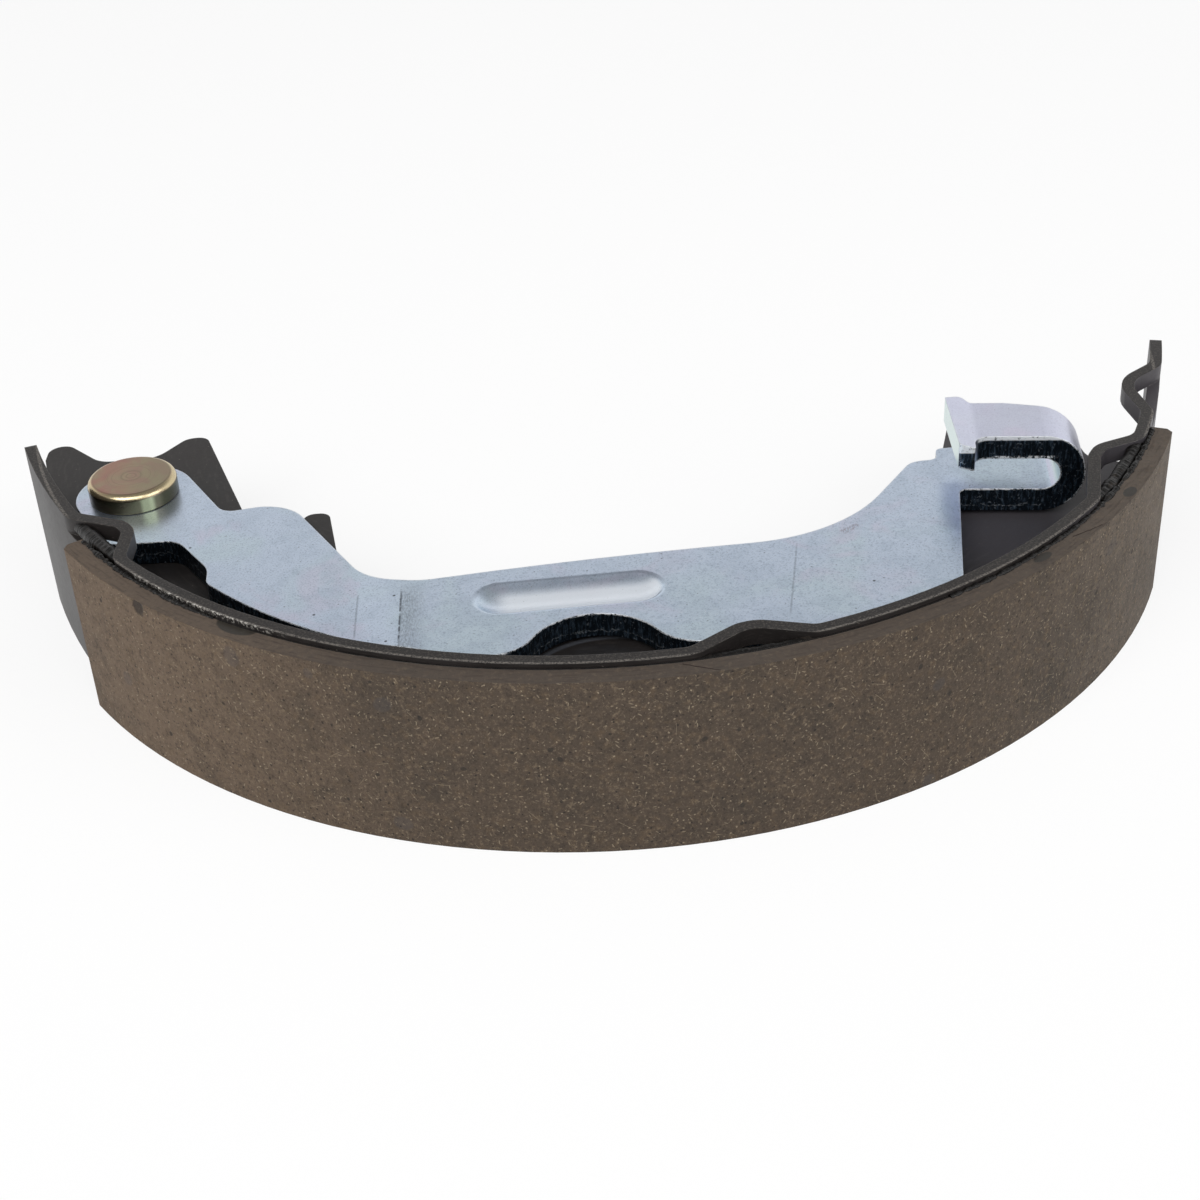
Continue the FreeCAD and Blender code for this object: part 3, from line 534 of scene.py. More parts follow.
def painted_steel(colours, sizes):
    """Black paint with clouds, streaks and specks, scuffed along the rim's edge, with painted light on the
    web towards the hook end and a painted highlight ring on the web.
    """
    finish = Finish("painted_steel")
    angle, radius = finish.round_the_drum()
    clouds = finish.noise(14 * MM, 4)
    peel = finish.noise(0.55 * MM, 3, roughness=0.6)
    along_rim = finish.join(angle * (DRUM_RADIUS * 0.15), radius, finish.z * 3.0)
    streaks = finish.noise(0.7 * MM, 3, roughness=0.65, place=along_rim)
    wear_noise = finish.noise(0.9 * MM, 4, roughness=0.7)
    wear = finish.edges(sizes.edge_softness) * wear_noise.step(0.4, 0.62)
    slanted = finish.join(finish.x + finish.z, finish.y + finish.z)
    specks, _ = finish.flecks(slanted, 2.6 * MM, 0.12 * MM, 0.09 * MM, share=0.3, seed=7)
    colour = finish.mix(clouds.step(0.35, 0.7) * 0.6, colours.paint, colours.paint_light)
    colour = finish.mix(streaks.step(0.5, 0.75) * 0.3, colour, PAINT_TINTS.streak)
    colour = finish.mix(specks * 0.45, colour, PAINT_TINTS.speck)

    _, _, up = finish.split(finish.normal())
    rim_edge = up.step(0.5, 0.8) * finish.z.step(LINING_HIGH.z, LINING_HIGH.z + 0.3 * MM)
    scuffs = finish.noise(0.32 * MM, 3, roughness=0.7, seed=10)
    border = rim_edge * radius.band(LINING_BACK_RADIUS - 0.2 * MM, 0.12 * MM, 0.25 * MM)
    colour = finish.mix(rim_edge * 0.6, colour, PAINT_TINTS.rim_edge)
    colour = finish.mix(rim_edge * scuffs.step(0.48, 0.64) * 0.5, colour, PAINT_TINTS.scuff)
    colour = finish.mix(border * scuffs.step(0.4, 0.55) * 0.6, colour, PAINT_TINTS.border)
    # Painted light: the web lighter towards the hook end, lifting the shade there.
    colour = finish.mix(angle.step(0.6, 0.85) * (1 - rim_edge) * 0.6, colour, PAINT_TINTS.hook_end)
    # Painted highlight: a light ring on the web.
    colour = finish.mix(web_ring_highlight(finish) * 0.3, colour, PAINT_TINTS.ring)
    colour = finish.mix(wear * 0.45, colour, colours.paint_worn)
    rubbed = rubbed_corner(finish, angle, radius)
    colour = finish.mix(rubbed * 0.9, colour, colours.bare_steel)

    roughness = clouds * 0.2 + wear_noise * 0.12 + 0.28 - rubbed * 0.1
    normal = finish.bump(
        peel + specks * 0.6 + streaks * 0.5, 0.025 * MM, 0.6, finish.soft_normal(sizes.edge_softness))
    metallic = (wear * 0.3).math("MAXIMUM", rubbed)
    return finish.surface(colour, roughness, metallic, normal, specular=0.3)


# Parking lever

def hook_fields(finish):
    """How far past the hook's root a place lies along the tongue, and the normal across and along it."""
    tongue = Vector((math.cos(HOOK_TURN), math.sin(HOOK_TURN), 0.0))
    across = Vector((-tongue.y, tongue.x, 0.0))
    east, north = finish.away_from(spot(*HOOK_ROOT))
    past_root = east * tongue.x + north * tongue.y
    sideways = finish.vector("DOT_PRODUCT", finish.normal(), tuple(across), output="Value")
    outwards = finish.vector("DOT_PRODUCT", finish.normal(), tuple(tongue), output="Value")
    return past_root, sideways, outwards


def sheared_faces(finish, past_root, sideways, outwards):
    """Masks: faces that the press cut, the hook, its upper leaf, its rear faces, and the head's plated end,
    which is painted pale as lit.
    """
    _, _, up = finish.split(finish.normal())
    upper_leaf = finish.z.step(LEVER_FACE + 0.4 * MM, LEVER_FACE + 0.6 * MM)
    on_hook = upper_leaf.math("MAXIMUM", past_root.step(0.0, 0.4 * MM))
    plain = up.math("ABSOLUTE").step(0.75, 0.45)
    cut = plain * (1 - on_hook) + sideways.math("ABSOLUTE").step(0.45, 0.75) * on_hook
    rear = sideways.step(0.4, 0.75) * on_hook
    head_end = outwards.step(-0.7, -0.92) * upper_leaf
    return cut, on_hook, upper_leaf, rear, head_end


def plating(finish, colours, grain, scratches):
    """The plated face: clouds, casts and tones, mottle and grain, scratches and spots."""
    clouds = finish.noise(18 * MM, 3, distortion=0.6)
    casts = finish.noise(12 * MM, 3, distortion=1.0, seed=3)
    tones = finish.noise(5.0 * MM, 4, distortion=0.5, seed=13)
    mottle = finish.noise(1.4 * MM, 4, roughness=0.6, seed=4)
    spots, spot_shade = finish.flecks(finish.plan(), 2.0 * MM, 0.13 * MM, 0.1 * MM, share=0.35, seed=6)
    colour = finish.mix(clouds.step(0.45, 0.66) * 0.6, colours.zinc, colours.zinc_green)
    colour = finish.mix(casts.step(0.52, 0.7) * 0.6, colour, colours.zinc_pink)
    colour = finish.mix(tones.step(0.45, 0.65) * 0.3, colour, LEVER_TINTS.tone)
    colour = finish.mix(mottle.step(0.5, 0.72) * 0.4, colour, LEVER_TINTS.mottle)
    colour = finish.mix(grain.step(0.49, 0.68) * 0.5, colour, LEVER_TINTS.dark_grain)
    colour = finish.mix(grain.step(0.42, 0.3) * 0.35, colour, LEVER_TINTS.bright)
    colour = finish.mix(scratches * 0.2, colour, LEVER_TINTS.fine_scratch)
    return finish.mix(spots * (spot_shade * 0.6), colour, LEVER_TINTS.spot)


def pressing_marks(finish, colour):
    """Lines and pits that the press left on the lever's face, with painted shade on the joggle's slope, along
    its crest and beside the hook's fold.
    """
    east, north = finish.away_from(DRUM_AXIS)
    front = north.step(-57 * MM, -62 * MM)
    hatch = finish.noise(0.22 * MM, 2, roughness=0.6, place=finish.stretched(1.0, 0.3, 1.0))
    broken = finish.noise(1.2 * MM, 3).step(0.3, 0.5)
    flat = finish.z.step(LEVER_FACE + 0.5 * MM, LEVER_FACE + 0.2 * MM)
    past_crest = east - north * CREST_SLOPE + CREST_WEST
    # Painted shade: a darker hatched band on the joggle's sloped face.
    joggle_shade_band = past_crest.step(-0.1 * MM, 0.1 * MM) * past_crest.step(5.0 * MM, 0.8 * MM) * front * flat
    colour = finish.mix(joggle_shade_band * (hatch.step(0.42, 0.62) * 0.35 + 0.2), colour, LEVER_TINTS.rubbed)
    # Painted shade: a dark line along the joggle's crest.
    crest = past_crest.band(0.0, 0.09 * MM, 0.12 * MM) * front * flat
    colour = finish.mix(crest * broken * 0.8, colour, LEVER_TINTS.crest)
    for start, end in FAINT_LINES:
        line = finish.stroke(spot(*start), spot(*end), 0.07 * MM, 0.15 * MM) * flat
        colour = finish.mix(line * broken * 0.35, colour, LEVER_TINTS.faint_line)
    # Painted shade: a soft darker streak beside the hook's fold.
    streak = finish.stroke(spot(*FOLD_SHADE[0]), spot(*FOLD_SHADE[1]), 0.4 * MM, 2.2 * MM) * flat
    colour = finish.mix(streak * 0.45, colour, LEVER_TINTS.fold_streak)
    scratch = finish.stroke(spot(*LEVER_SCRATCH[0]), spot(*LEVER_SCRATCH[1]), 0.4 * MM, 0.5 * MM) * flat
    colour = finish.mix(scratch * hatch.step(0.4, 0.6) * 0.5, colour, LEVER_TINTS.scratch)
    for place in LEVER_PITS:
        colour = finish.mix(finish.dot(spot(*place), 0.24 * MM) * flat * 0.8, colour, LEVER_TINTS.pit)
    return colour


def groove_highlight(finish):
    """1 on the bottom and near side of the pressed groove, where a painted highlight lightens the plate."""
    near = finish.stroke(spot(*GROOVE[0]), spot(*GROOVE[1]), 2.6 * MM, 2.2 * MM)
    return near * finish.z.step(LEVER_FACE - 0.1 * MM, LEVER_FACE - 0.5 * MM)


def groove_border(finish):
    """Painted shade: a thin dark line below the face along the groove's near side."""
    _, north = finish.away_from(DRUM_AXIS)
    near = finish.stroke(spot(*GROOVE[0]), spot(*GROOVE[1]), 6.0 * MM, 1.0 * MM)
    near_side = near * north.step(-66 * MM, -67 * MM)
    return near_side * finish.z.band(LEVER_FACE - 0.22 * MM, 0.07 * MM, 0.08 * MM)


def torn_faces(finish, colours, on_hook, rear, wobble, strands, sparks):
    """Colour of the faces that the press cut: dark strands with painted sheen, a torn line, and bright sparks
    that are painted highlights.
    """
    level = (finish.z - LEVER_LOW.z - PLATE_THICKNESS * 0.45) + (wobble - 0.5) * (2.4 * MM)
    torn_line = level.math("ABSOLUTE").step(0.16 * MM, 0.04 * MM) * (1 - on_hook)
    # Painted sheen on the strands, and painted highlights as sparks.
    colour = finish.mix(strands.step(0.46, 0.66) * 0.8, colours.sheared, CUT_TINTS.strand)
    colour = finish.mix(strands.step(0.6, 0.75) * 0.6, colour, CUT_TINTS.bright_strand)
    colour = finish.mix(torn_line * sparks.step(0.42, 0.6) * 0.8, colour, CUT_TINTS.torn_line)
    colour = finish.mix(sparks.step(0.58, 0.7) * 0.8, colour, CUT_TINTS.spark)
    return finish.mix(rear * 0.8, colour, CUT_TINTS.rear)


def burr_highlights(finish, sizes, cut, past_root, wobble, sparks):
    """Painted highlights along the real burred edges: the plate's upper edges, both edges of the hook's leaf
    and the face below it.
    """
    upper_half = finish.z.step(LEVER_LOW.z + 2.0 * MM, LEVER_LOW.z + 2.4 * MM)
    edges = finish.edges(sizes.edge_softness * 2.2, 0.01, 0.07) * upper_half
    height = finish.z - HOOK_TOP
    leaf_top = height.step(-0.75 * MM, -0.45 * MM) * past_root.step(-LEAF_LENGTH - 0.3 * MM, -LEAF_LENGTH)
    leaf_bottom = height.band(0.4 * MM - PLATE_THICKNESS, 0.12 * MM, 0.2 * MM) * past_root.band(
        -3.0 * MM, 4.5 * MM, 1.0 * MM)
    face_top = finish.z.band(LEVER_FACE - 0.12 * MM, 0.1 * MM, 0.12 * MM) * past_root.step(
        0.5 * MM, -0.5 * MM)
    return strongest([
        edges * (cut * sparks.step(0.4, 0.52) * 0.95 + (1 - cut) * wobble.step(0.3, 0.5) * 0.4),
        cut * leaf_top * sparks.step(0.32, 0.44) * 0.95,
        cut * leaf_bottom * sparks.step(0.46, 0.56) * 0.9,
        cut * face_top * sparks.step(0.42, 0.54) * 0.8])


def zinc_plate(colours, sizes):
    """Zinc on the lever's faces, and torn steel on its cut edges, with painted highlights, sheen and shade.
    """
    finish = Finish("zinc_plate")
    grain = finish.noise(0.3 * MM, 3, roughness=0.65)
    wobble = finish.noise(1.6 * MM, 3)
    strands = finish.noise(0.4 * MM, 3, roughness=0.7, place=finish.stretched(1.0, 1.0, 0.25))
    sparks = finish.noise(0.6 * MM, 4, roughness=0.75, seed=9)
    scratches, _ = finish.flecks(finish.plan(), 9 * MM, 1.6 * MM, 0.025 * MM, share=0.4, seed=5)
    groove = groove_highlight(finish)
    past_root, sideways, outwards = hook_fields(finish)
    cut, on_hook, upper_leaf, rear, head_end = sheared_faces(finish, past_root, sideways, outwards)

    colour = pressing_marks(finish, plating(finish, colours, grain, scratches))
    # Painted highlight: the groove's bottom and near side made lighter, and less metallic below so that it
    # shows.
    colour = finish.mix(groove * 0.85, colour, LEVER_TINTS.bright)
    # Painted shade along the groove's near edge.
    colour = finish.mix(groove_border(finish) * 0.55, colour, LEVER_TINTS.groove_border)
    colour = finish.mix(cut, colour, torn_faces(finish, colours, on_hook, rear, wobble, strands, sparks))
    # Painted light: the head's end face, which faces the light from the left, made pale.
    colour = finish.mix(head_end * 0.8, colour, LEVER_TINTS.head_end)
    colour = finish.mix(upper_leaf * (1 - cut) * (1 - head_end) * 0.5, colour, LEVER_TINTS.leaf)
    # Painted highlights: the burred edges made near white, and less metallic below so that the white shows.
    burr_highlight_mask = burr_highlights(finish, sizes, cut, past_root, wobble, sparks)
    colour = finish.mix(burr_highlight_mask, colour, CUT_TINTS.burr)

    roughness = 0.3 + cut * 0.04 + (grain - 0.5) * 0.15
    metallic = 0.92 - groove * 0.6 - burr_highlight_mask * cut * 0.7
    height = grain * (1 - cut) * 0.35 + strands * cut * 1.5 + sparks * cut * 1.5 - scratches * 0.4
    normal = finish.bump(height, 0.06 * MM, 0.7, finish.soft_normal(sizes.edge_softness))
    return finish.surface(colour, roughness, metallic, normal)


# Pin, washer and clip

def chromated_pin(colours, sizes):
    """Yellow chromate with turning rings on the head's top, and a darker wall, with painted highlights on the
    bevel and down the wall.
    """
    finish = Finish("yellow_chromate")
    east, north = finish.away_from(PIVOT)
    turned = finish.join(east.hypotenuse(north), finish.z * 0.2)
    rings = finish.noise(sizes.turning_pitch, 2, roughness=0.7, place=turned)
    clouds = finish.noise(3.5 * MM, 3, distortion=0.5)
    casts = finish.noise(5.0 * MM, 2, seed=7)
    grain = finish.noise(0.25 * MM, 2)
    _, _, up = finish.split(finish.normal())
    top = up.step(0.9, 0.99)
    bevel = up.step(0.08, 0.3) * (1 - top)
    wall = 1 - up.math("ABSOLUTE").step(0.05, 0.25)
    colour = finish.mix(clouds.step(0.4, 0.62), colours.chromate, colours.chromate_pink)
    colour = finish.mix(east.step(2 * MM, -5 * MM) * casts.step(0.35, 0.6) * 0.5, colour, PIN_TINTS.blush)
    colour = finish.mix(rings.step(0.48, 0.68) * top * 0.55, colour, PIN_TINTS.ring)
    colour = finish.mix(east.step(-1 * MM, 5 * MM) * top * 0.45, colour, PIN_TINTS.olive)
    # Painted highlight: the head's bevel lightened all round.
    colour = finish.mix(bevel * 0.75, colour, PIN_TINTS.bevel)
    colour = finish.mix(wall * 0.85, colour, PIN_TINTS.wall)
    # Painted highlight: a pale streak down the wall.
    gleam = east.band(3.0 * MM, 0.5 * MM, 0.9 * MM)
    colour = finish.mix(wall * gleam * 0.55, colour, PIN_TINTS.gleam)
    height = rings * top + grain * 0.25
    normal = finish.bump(height, 0.05 * MM, 0.6, finish.soft_normal(sizes.edge_softness))
    roughness = clouds * 0.12 + 0.2 + top * 0.1
    return finish.surface(colour, roughness, 0.95, normal)


def spring_steel(sizes):
    """Dark oiled steel with rubbed edges."""
    finish = Finish("spring_steel")
    grain = finish.noise(0.4 * MM, 3)
    clouds = finish.noise(3.0 * MM, 3)
    colour = finish.mix(clouds.step(0.35, 0.7), SPRING_TINTS.dark, SPRING_TINTS.light)
    colour = finish.mix(finish.edges(sizes.edge_softness * 0.5) * 0.6, colour, SPRING_TINTS.edge)
    normal = finish.bump(grain, 0.03 * MM, 0.6, finish.soft_normal(sizes.edge_softness * 0.5))
    return finish.surface(colour, grain * 0.2 + 0.32, 0.9, normal)


def adhesive_material(colours):
    """Black adhesive with a dull skin."""
    finish = Finish("adhesive")
    grain = finish.noise(0.35 * MM, 4, roughness=0.65)
    clouds = finish.noise(1.3 * MM, 3)
    colour = finish.mix(clouds.step(0.55, 0.75) * 0.5, colours.adhesive, ADHESIVE_TINTS.skin)
    colour = finish.mix(grain.step(0.62, 0.72) * 0.35, colour, ADHESIVE_TINTS.grain)
    normal = finish.bump(grain, 0.09 * MM, 0.8)
    return finish.surface(colour, clouds * 0.3 + 0.2, 0.0, normal, specular=0.3)


# Geometry Nodes for the adhesive

class Tree:
    """A geometry tree with named inputs."""

    def __init__(self, name, inputs):
        self.group = bpy.data.node_groups.new(name, "GeometryNodeTree")
        self.group.interface.new_socket("Geometry", in_out="INPUT", socket_type="NodeSocketGeometry")
        self.keys = {}
        for label, kind in inputs.items():
            made = self.group.interface.new_socket(label, in_out="INPUT", socket_type="NodeSocket" + kind)
            self.keys[label] = made.identifier
        self.group.interface.new_socket("Geometry", in_out="OUTPUT", socket_type="NodeSocketGeometry")
        self.start = self.group.nodes.new("NodeGroupInput")
        self.end = self.group.nodes.new("NodeGroupOutput")

    def given(self, label):
        return self.start.outputs[label]

    def node(self, kind, settings, inputs, output=0):
        return add_node(self.group, kind, settings, inputs).outputs[output]

    def math(self, operation, first, second):
        return self.node("ShaderNodeMath", {"operation": operation}, {0: first, 1: second})

    def finish(self, geometry, material):
        """End the tree in Realize Instances and Set Material."""
        real = self.node("GeometryNodeRealizeInstances", {}, {"Geometry": geometry})
        painted = self.node("GeometryNodeSetMaterial", {}, {"Geometry": real, "Material": material})
        self.group.links.new(painted, self.end.inputs[0])


def bead_tree(material):
    """A bead along an arc, whose thickness wanders between a thin line and lumps."""
    tree = Tree("adhesive_bead", {
        "Path radius": "Float", "First angle": "Float", "Sweep": "Float",
        "Bead radius": "Float", "Thinnest": "Float", "Lump size": "Float", "Steps": "Int", "Seed": "Int"})
    arc = tree.node("GeometryNodeCurveArc", {"mode": "RADIUS"}, {
        "Resolution": tree.given("Steps"), "Radius": tree.given("Path radius"),
        "Start Angle": tree.given("First angle"), "Sweep Angle": tree.given("Sweep")}, "Curve")
    place = tree.node("GeometryNodeInputPosition", {}, {})
    scale = tree.math("DIVIDE", 1.0, tree.given("Lump size"))
    seed = tree.math("MULTIPLY", tree.given("Seed"), 7.31)
    lumps = tree.node("ShaderNodeTexNoise", {"noise_dimensions": "4D"}, {
        "Vector": place, "W": seed, "Scale": scale, "Detail": 4.0, "Roughness": 0.75})
    rise = tree.node("ShaderNodeMapRange", {}, {
        "Value": lumps, "From Min": 0.36, "From Max": 0.66, "To Min": tree.given("Thinnest"), "To Max": 1.0})
    thickness = tree.math("MULTIPLY", rise, tree.given("Bead radius"))
    ring = tree.node("GeometryNodeCurvePrimitiveCircle", {}, {"Resolution": 8, "Radius": 1.0})
    tube = tree.node("GeometryNodeCurveToMesh", {}, {
        "Curve": arc, "Profile Curve": ring, "Scale": thickness, "Fill Caps": True})
    smooth = tree.node("GeometryNodeSetShadeSmooth", {}, {"Geometry": tube})
    tree.finish(smooth, material)
    return tree


def grown_mesh(name, tree, values):
    """Run a tree on an empty mesh and keep the result as a plain mesh."""
    carrier = bpy.data.objects.new(name + "_carrier", bpy.data.meshes.new(name + "_carrier"))
    bpy.context.collection.objects.link(carrier)
    modifier = carrier.modifiers.new("growth", "NODES")
    modifier.node_group = tree.group
    for label, value in values.items():
        modifier[tree.keys[label]] = value
    evaluated = carrier.evaluated_get(bpy.context.evaluated_depsgraph_get())
    mesh = bpy.data.meshes.new_from_object(evaluated)
    carrier.modifiers.remove(modifier)
    bpy.data.objects.remove(carrier)
    return mesh


def add_piece(name, mesh, body):
    """Put a finished mesh into the scene, on its body."""
    piece = bpy.data.objects.new(name, mesh)
    bpy.context.collection.objects.link(piece)
    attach(piece, body)


# Operators

class SHOE_OT_lining(bpy.types.Operator):
    """Give the friction lining its ground compound"""
    bl_idname = "shoe.lining"
    bl_label = "Friction lining"

    def execute(self, context):
        dress("friction_lining", friction_material(context.scene.shoe_colours, context.scene.shoe_sizes))
        return {"FINISHED"}


class SHOE_OT_plates(bpy.types.Operator):
    """Paint the rim and the web"""
    bl_idname = "shoe.plates"
    bl_label = "Rim and web"

    def execute(self, context):
        paint = painted_steel(context.scene.shoe_colours, context.scene.shoe_sizes)
        for node in ("shoe_rim", "shoe_web"):
            dress(node, paint)
        return {"FINISHED"}


class SHOE_OT_lever(bpy.types.Operator):
    """Plate the parking lever with zinc"""
    bl_idname = "shoe.lever"
    bl_label = "Parking lever"

    def execute(self, context):
        dress("parking_lever", zinc_plate(context.scene.shoe_colours, context.scene.shoe_sizes))
        return {"FINISHED"}


class SHOE_OT_pin(bpy.types.Operator):
    """Finish the pin, its washer and its clip"""
    bl_idname = "shoe.pin"
    bl_label = "Pin, washer and clip"

    def execute(self, context):
        colours, sizes = context.scene.shoe_colours, context.scene.shoe_sizes
        dress("lever_pin", chromated_pin(colours, sizes))
        steel = spring_steel(sizes)
        for node in ("spring_washer", "retainer_clip"):
            dress(node, steel)
        return {"FINISHED"}


class SHOE_OT_adhesive(bpy.types.Operator):
    """Lay the adhesive that was squeezed out between rim and lining"""
    bl_idname = "shoe.adhesive"
    bl_label = "Adhesive"

    # Name, first and last angle from the middle of the shoe, thickness as a share of the largest,
    # its thinnest part, and the path's place outside the joint and below the lining's side in mm
    RUNS = (
        ("left", -60.4, -40.5, 1.0, 0.25, 0.25, 0.1),
        ("middle", -40.5, 25.0, 0.27, 0.7, 0.15, 0.1),
        ("right", 25.0, 62.0, 1.0, 0.25, 0.25, 0.1),
        ("nib_1", -64.0, -55.6, 1.9, 0.85, -1.8, 0.85),
        ("nib_2", 1.1, 13.4, 1.5, 0.8, -0.8, 1.05),
        ("nib_3", 45.4, 60.1, 1.8, 0.75, -1.3, 0.85))
    STEPS_A_DEGREE = 12

    def execute(self, context):
        sizes = context.scene.shoe_sizes
        tree = bead_tree(adhesive_material(context.scene.shoe_colours))
        for order, (name, first, last, share, thinnest, outside, below) in enumerate(self.RUNS):
            mesh = grown_mesh("adhesive_" + name, tree, {
                "Path radius": LINING_BACK_RADIUS + outside * MM, "First angle": math.radians(first - 90),
                "Sweep": math.radians(last - first), "Bead radius": sizes.bead_radius * share,
                "Thinnest": thinnest, "Lump size": sizes.lump_size,
                "Steps": int((last - first) * self.STEPS_A_DEGREE), "Seed": SEED + order})
            mesh.transform(Matrix.Translation(DRUM_AXIS + Vector((0, 0, LINING_HIGH.z - below * MM))))
            add_piece("adhesive_" + name, mesh, "shoe")
        return {"FINISHED"}


def add_lamp(name, place, side, watts):
    """A square soft lamp that shines on the part."""
    data = bpy.data.lights.new(name, "AREA")
    data.shape = "SQUARE"
    data.size = side
    data.energy = watts
    lamp = bpy.data.objects.new(name, data)
    lamp.location = place
    lamp.rotation_euler = (-Vector(place)).to_track_quat("-Z", "Y").to_euler()
    bpy.context.collection.objects.link(lamp)


def camera_matrix(stage):
    """The camera's place and turn from its heading, pitch and roll."""
    flat = math.cos(stage.pitch)
    forward = Vector((math.sin(stage.heading) * flat, math.cos(stage.heading) * flat, -math.sin(stage.pitch)))
    right = forward.cross(Vector((0, 0, 1))).normalized()
    up = right.cross(forward)
    rolled_right = right * math.cos(stage.roll) + up * math.sin(stage.roll)
    rolled_up = up * math.cos(stage.roll) - right * math.sin(stage.roll)
    turn = Matrix((rolled_right, rolled_up, -forward)).transposed().to_4x4()
    offset = Vector((-stage.camera_x, -stage.camera_y, stage.camera_z))
    return Matrix.Translation(DRUM_AXIS + offset) @ turn


# Share of plain white that the background rays see in the floor
FLOOR_GLOW = 0.8
FLOOR_CLOUDS = srgb("F4F4F5")
# Gap between the part and the floor, so that their faces don't meet
FLOOR_DROP = 0.02 * MM


def stage_material(stage):
    """A pale floor that the camera and metal see as white, and that keeps its shadows."""
    finish = Finish("studio_floor")
    grain = finish.noise(60 * MM, 2)
    colour = finish.mix(grain * 0.1, stage.floor, FLOOR_CLOUDS)
    diffuse = finish.node("ShaderNodeBsdfDiffuse", {}, {"Color": colour, "Roughness": 0.6})
    white = finish.node("ShaderNodeEmission", {}, {"Color": (1.0, 1.0, 1.0), "Strength": 1.0})
    seen = finish.background_rays() * FLOOR_GLOW
    finish.output(finish.node("ShaderNodeMixShader", {}, [seen, diffuse, white]))
    return finish.material


def stage_mesh():
    """Floor that curves up into a backdrop behind the part, in metres."""
    reach, rise, bend, bend_steps = 2.2, 0.8, 0.6, 12
    profile = [(-reach, 0.0), (reach - bend, 0.0)]
    for index in range(1, bend_steps + 1):
        turn = math.pi / 2 * index / bend_steps
        profile.append((reach - bend + bend * math.sin(turn), bend - bend * math.cos(turn)))
    profile.append((reach, rise))
    points = [(side * reach, y, z - FLOOR_DROP) for y, z in profile for side in (-1, 1)]
    faces = [(2 * i, 2 * i + 1, 2 * i + 3, 2 * i + 2) for i in range(len(profile) - 1)]
    mesh = bpy.data.meshes.new("studio_floor")
    mesh.from_pydata(points, [], faces)
    for face in mesh.polygons:
        face.use_smooth = True
    return mesh


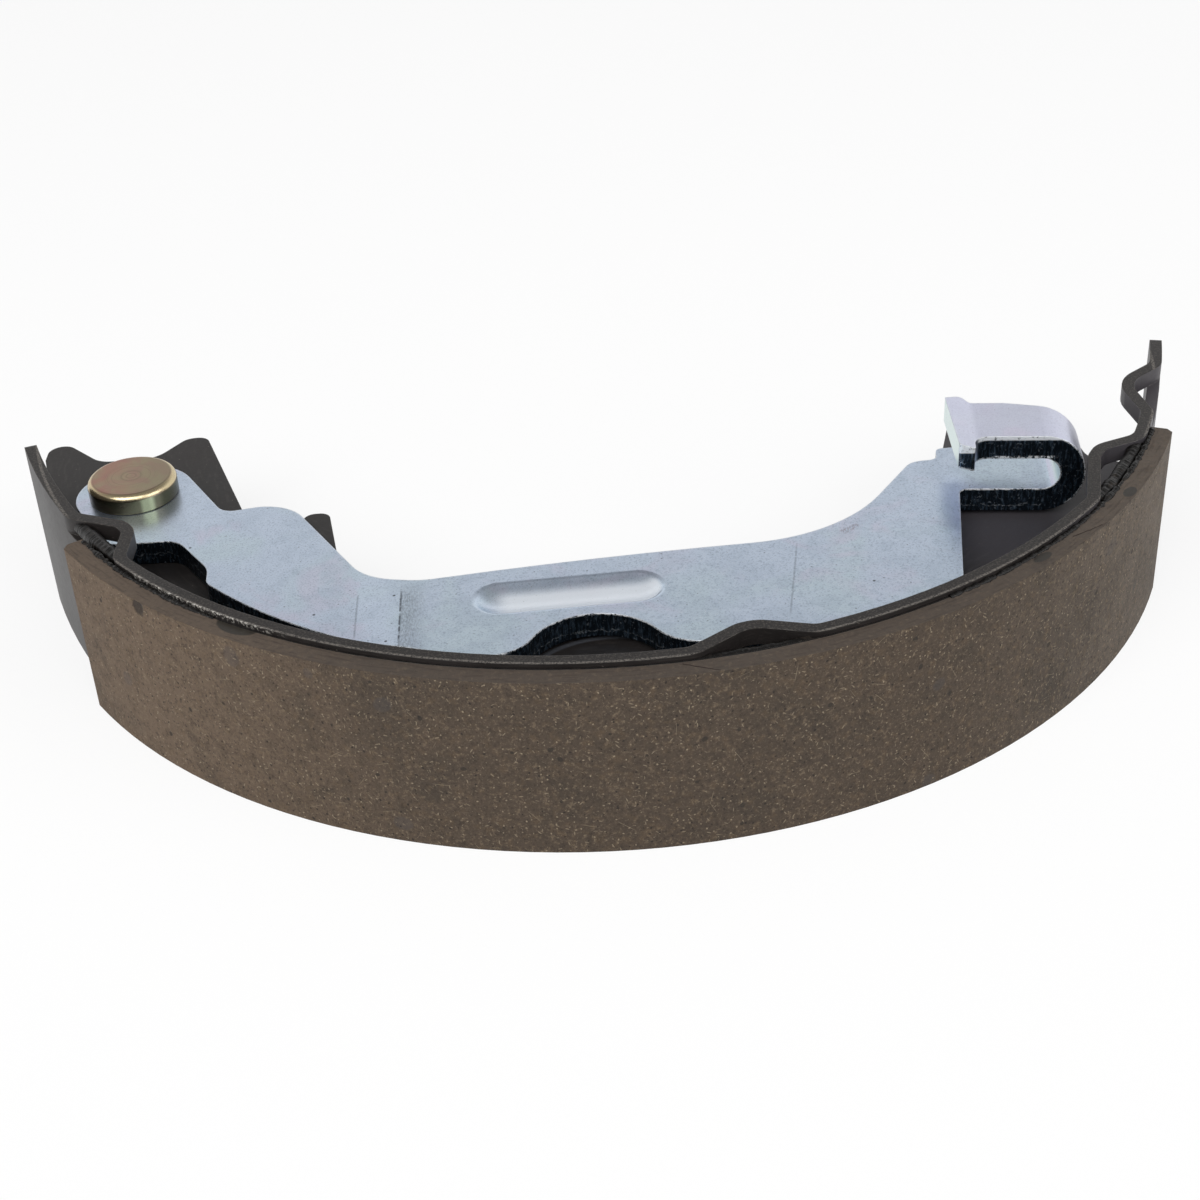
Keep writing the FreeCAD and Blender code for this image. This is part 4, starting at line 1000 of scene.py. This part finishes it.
class SHOE_OT_stage(bpy.types.Operator):
    """Set up floor, lamps, room light and camera"""
    bl_idname = "shoe.stage"
    bl_label = "Stage"

    # Name, place and side of each lamp in metres, and the setting that holds its power
    LAMPS = (
        ("key_lamp", (-0.55, -0.75, 0.85), 0.8, "key_watts"),
        ("fill_lamp", (0.85, -0.55, 0.55), 0.7, "fill_watts"),
        ("front_lamp", (0.1, -0.85, 0.85), 0.7, "front_watts"))
    # Rise of a reflected ray up to which the room looks white, and from which it is overhead
    WHITE_BELOW, OVERHEAD_ABOVE = 0.3, 0.85
    SENSOR_WIDTH = 36.0
    CLIP_START = 0.01

    def execute(self, context):
        scene, stage = context.scene, context.scene.shoe_stage
        floor = bpy.data.objects.new("studio_floor", stage_mesh())
        floor.data.materials.append(stage_material(stage))
        context.collection.objects.link(floor)
        self.add_world(scene, stage)
        for name, place, side, setting in self.LAMPS:
            add_lamp(name, place, side, getattr(stage, setting))
        data = bpy.data.cameras.new("photo_camera")
        data.lens = stage.lens
        data.sensor_width = self.SENSOR_WIDTH
        data.clip_start = self.CLIP_START
        camera = bpy.data.objects.new("photo_camera", data)
        context.collection.objects.link(camera)
        camera.matrix_world = camera_matrix(stage)
        scene.camera = camera
        scene.view_settings.view_transform = "Standard"
        return {"FINISHED"}

    def add_world(self, scene, stage):
        """Even room light. The camera and metal see it white near the floor and darker overhead."""
        world = bpy.data.worlds.new("studio")
        world.use_nodes = True
        tree = world.node_tree
        rays = add_node(tree, "ShaderNodeLightPath", {}, {}).outputs
        mirrored = add_node(tree, "ShaderNodeMath", {"operation": "MAXIMUM"}, {
            0: rays["Is Glossy Ray"], 1: rays["Is Transmission Ray"]}).outputs[0]
        direction = add_node(tree, "ShaderNodeTexCoord", {}, {}).outputs["Generated"]
        rise = add_node(tree, "ShaderNodeSeparateXYZ", {}, {"Vector": direction}).outputs["Z"]
        reflected = add_node(tree, "ShaderNodeMapRange", {"interpolation_type": "SMOOTHSTEP"}, {
            "Value": rise, "From Min": self.WHITE_BELOW, "From Max": self.OVERHEAD_ABOVE,
            "To Min": 1.0, "To Max": stage.overhead}).outputs[0]
        seen = add_node(tree, "ShaderNodeMix", {}, {
            "Factor": mirrored, "A": stage.world_strength, "B": reflected}).outputs[0]
        strength = add_node(tree, "ShaderNodeMix", {}, {
            "Factor": rays["Is Camera Ray"], "A": seen, "B": 1.0}).outputs[0]
        background = tree.nodes["Background"]
        background.inputs["Color"].default_value = (1.0, 1.0, 1.0, 1.0)
        tree.links.new(strength, background.inputs["Strength"])
        scene.world = world


class SHOE_PT_panel(bpy.types.Panel):
    bl_label = "Brake shoe"
    bl_idname = "SHOE_PT_panel"
    bl_space_type = "VIEW_3D"
    bl_region_type = "UI"
    bl_category = "Brake shoe"

    def draw(self, context):
        layout = self.layout
        for group in (context.scene.shoe_colours, context.scene.shoe_sizes, context.scene.shoe_stage):
            box = layout.box()
            for name in group.__annotations__:
                box.prop(group, name)
        for operator in OPERATORS:
            layout.operator(operator.bl_idname)


GROUPS = (ShoeColours, ShoeSizes, StageSettings)
OPERATORS = (SHOE_OT_lining, SHOE_OT_plates, SHOE_OT_lever, SHOE_OT_pin, SHOE_OT_adhesive, SHOE_OT_stage)


def register():
    for item in (*GROUPS, *OPERATORS, SHOE_PT_panel):
        bpy.utils.register_class(item)
    bpy.types.Scene.shoe_colours = PointerProperty(type=ShoeColours)
    bpy.types.Scene.shoe_sizes = PointerProperty(type=ShoeSizes)
    bpy.types.Scene.shoe_stage = PointerProperty(type=StageSettings)


def unregister():
    del bpy.types.Scene.shoe_stage
    del bpy.types.Scene.shoe_sizes
    del bpy.types.Scene.shoe_colours
    for item in (SHOE_PT_panel, *reversed(OPERATORS), *reversed(GROUPS)):
        bpy.utils.unregister_class(item)


def main():
    register()
    bpy.ops.shoe.lining()
    bpy.ops.shoe.plates()
    bpy.ops.shoe.lever()
    bpy.ops.shoe.pin()
    bpy.ops.shoe.adhesive()
    bpy.ops.shoe.stage()


if __name__ == "__main__":
    main()
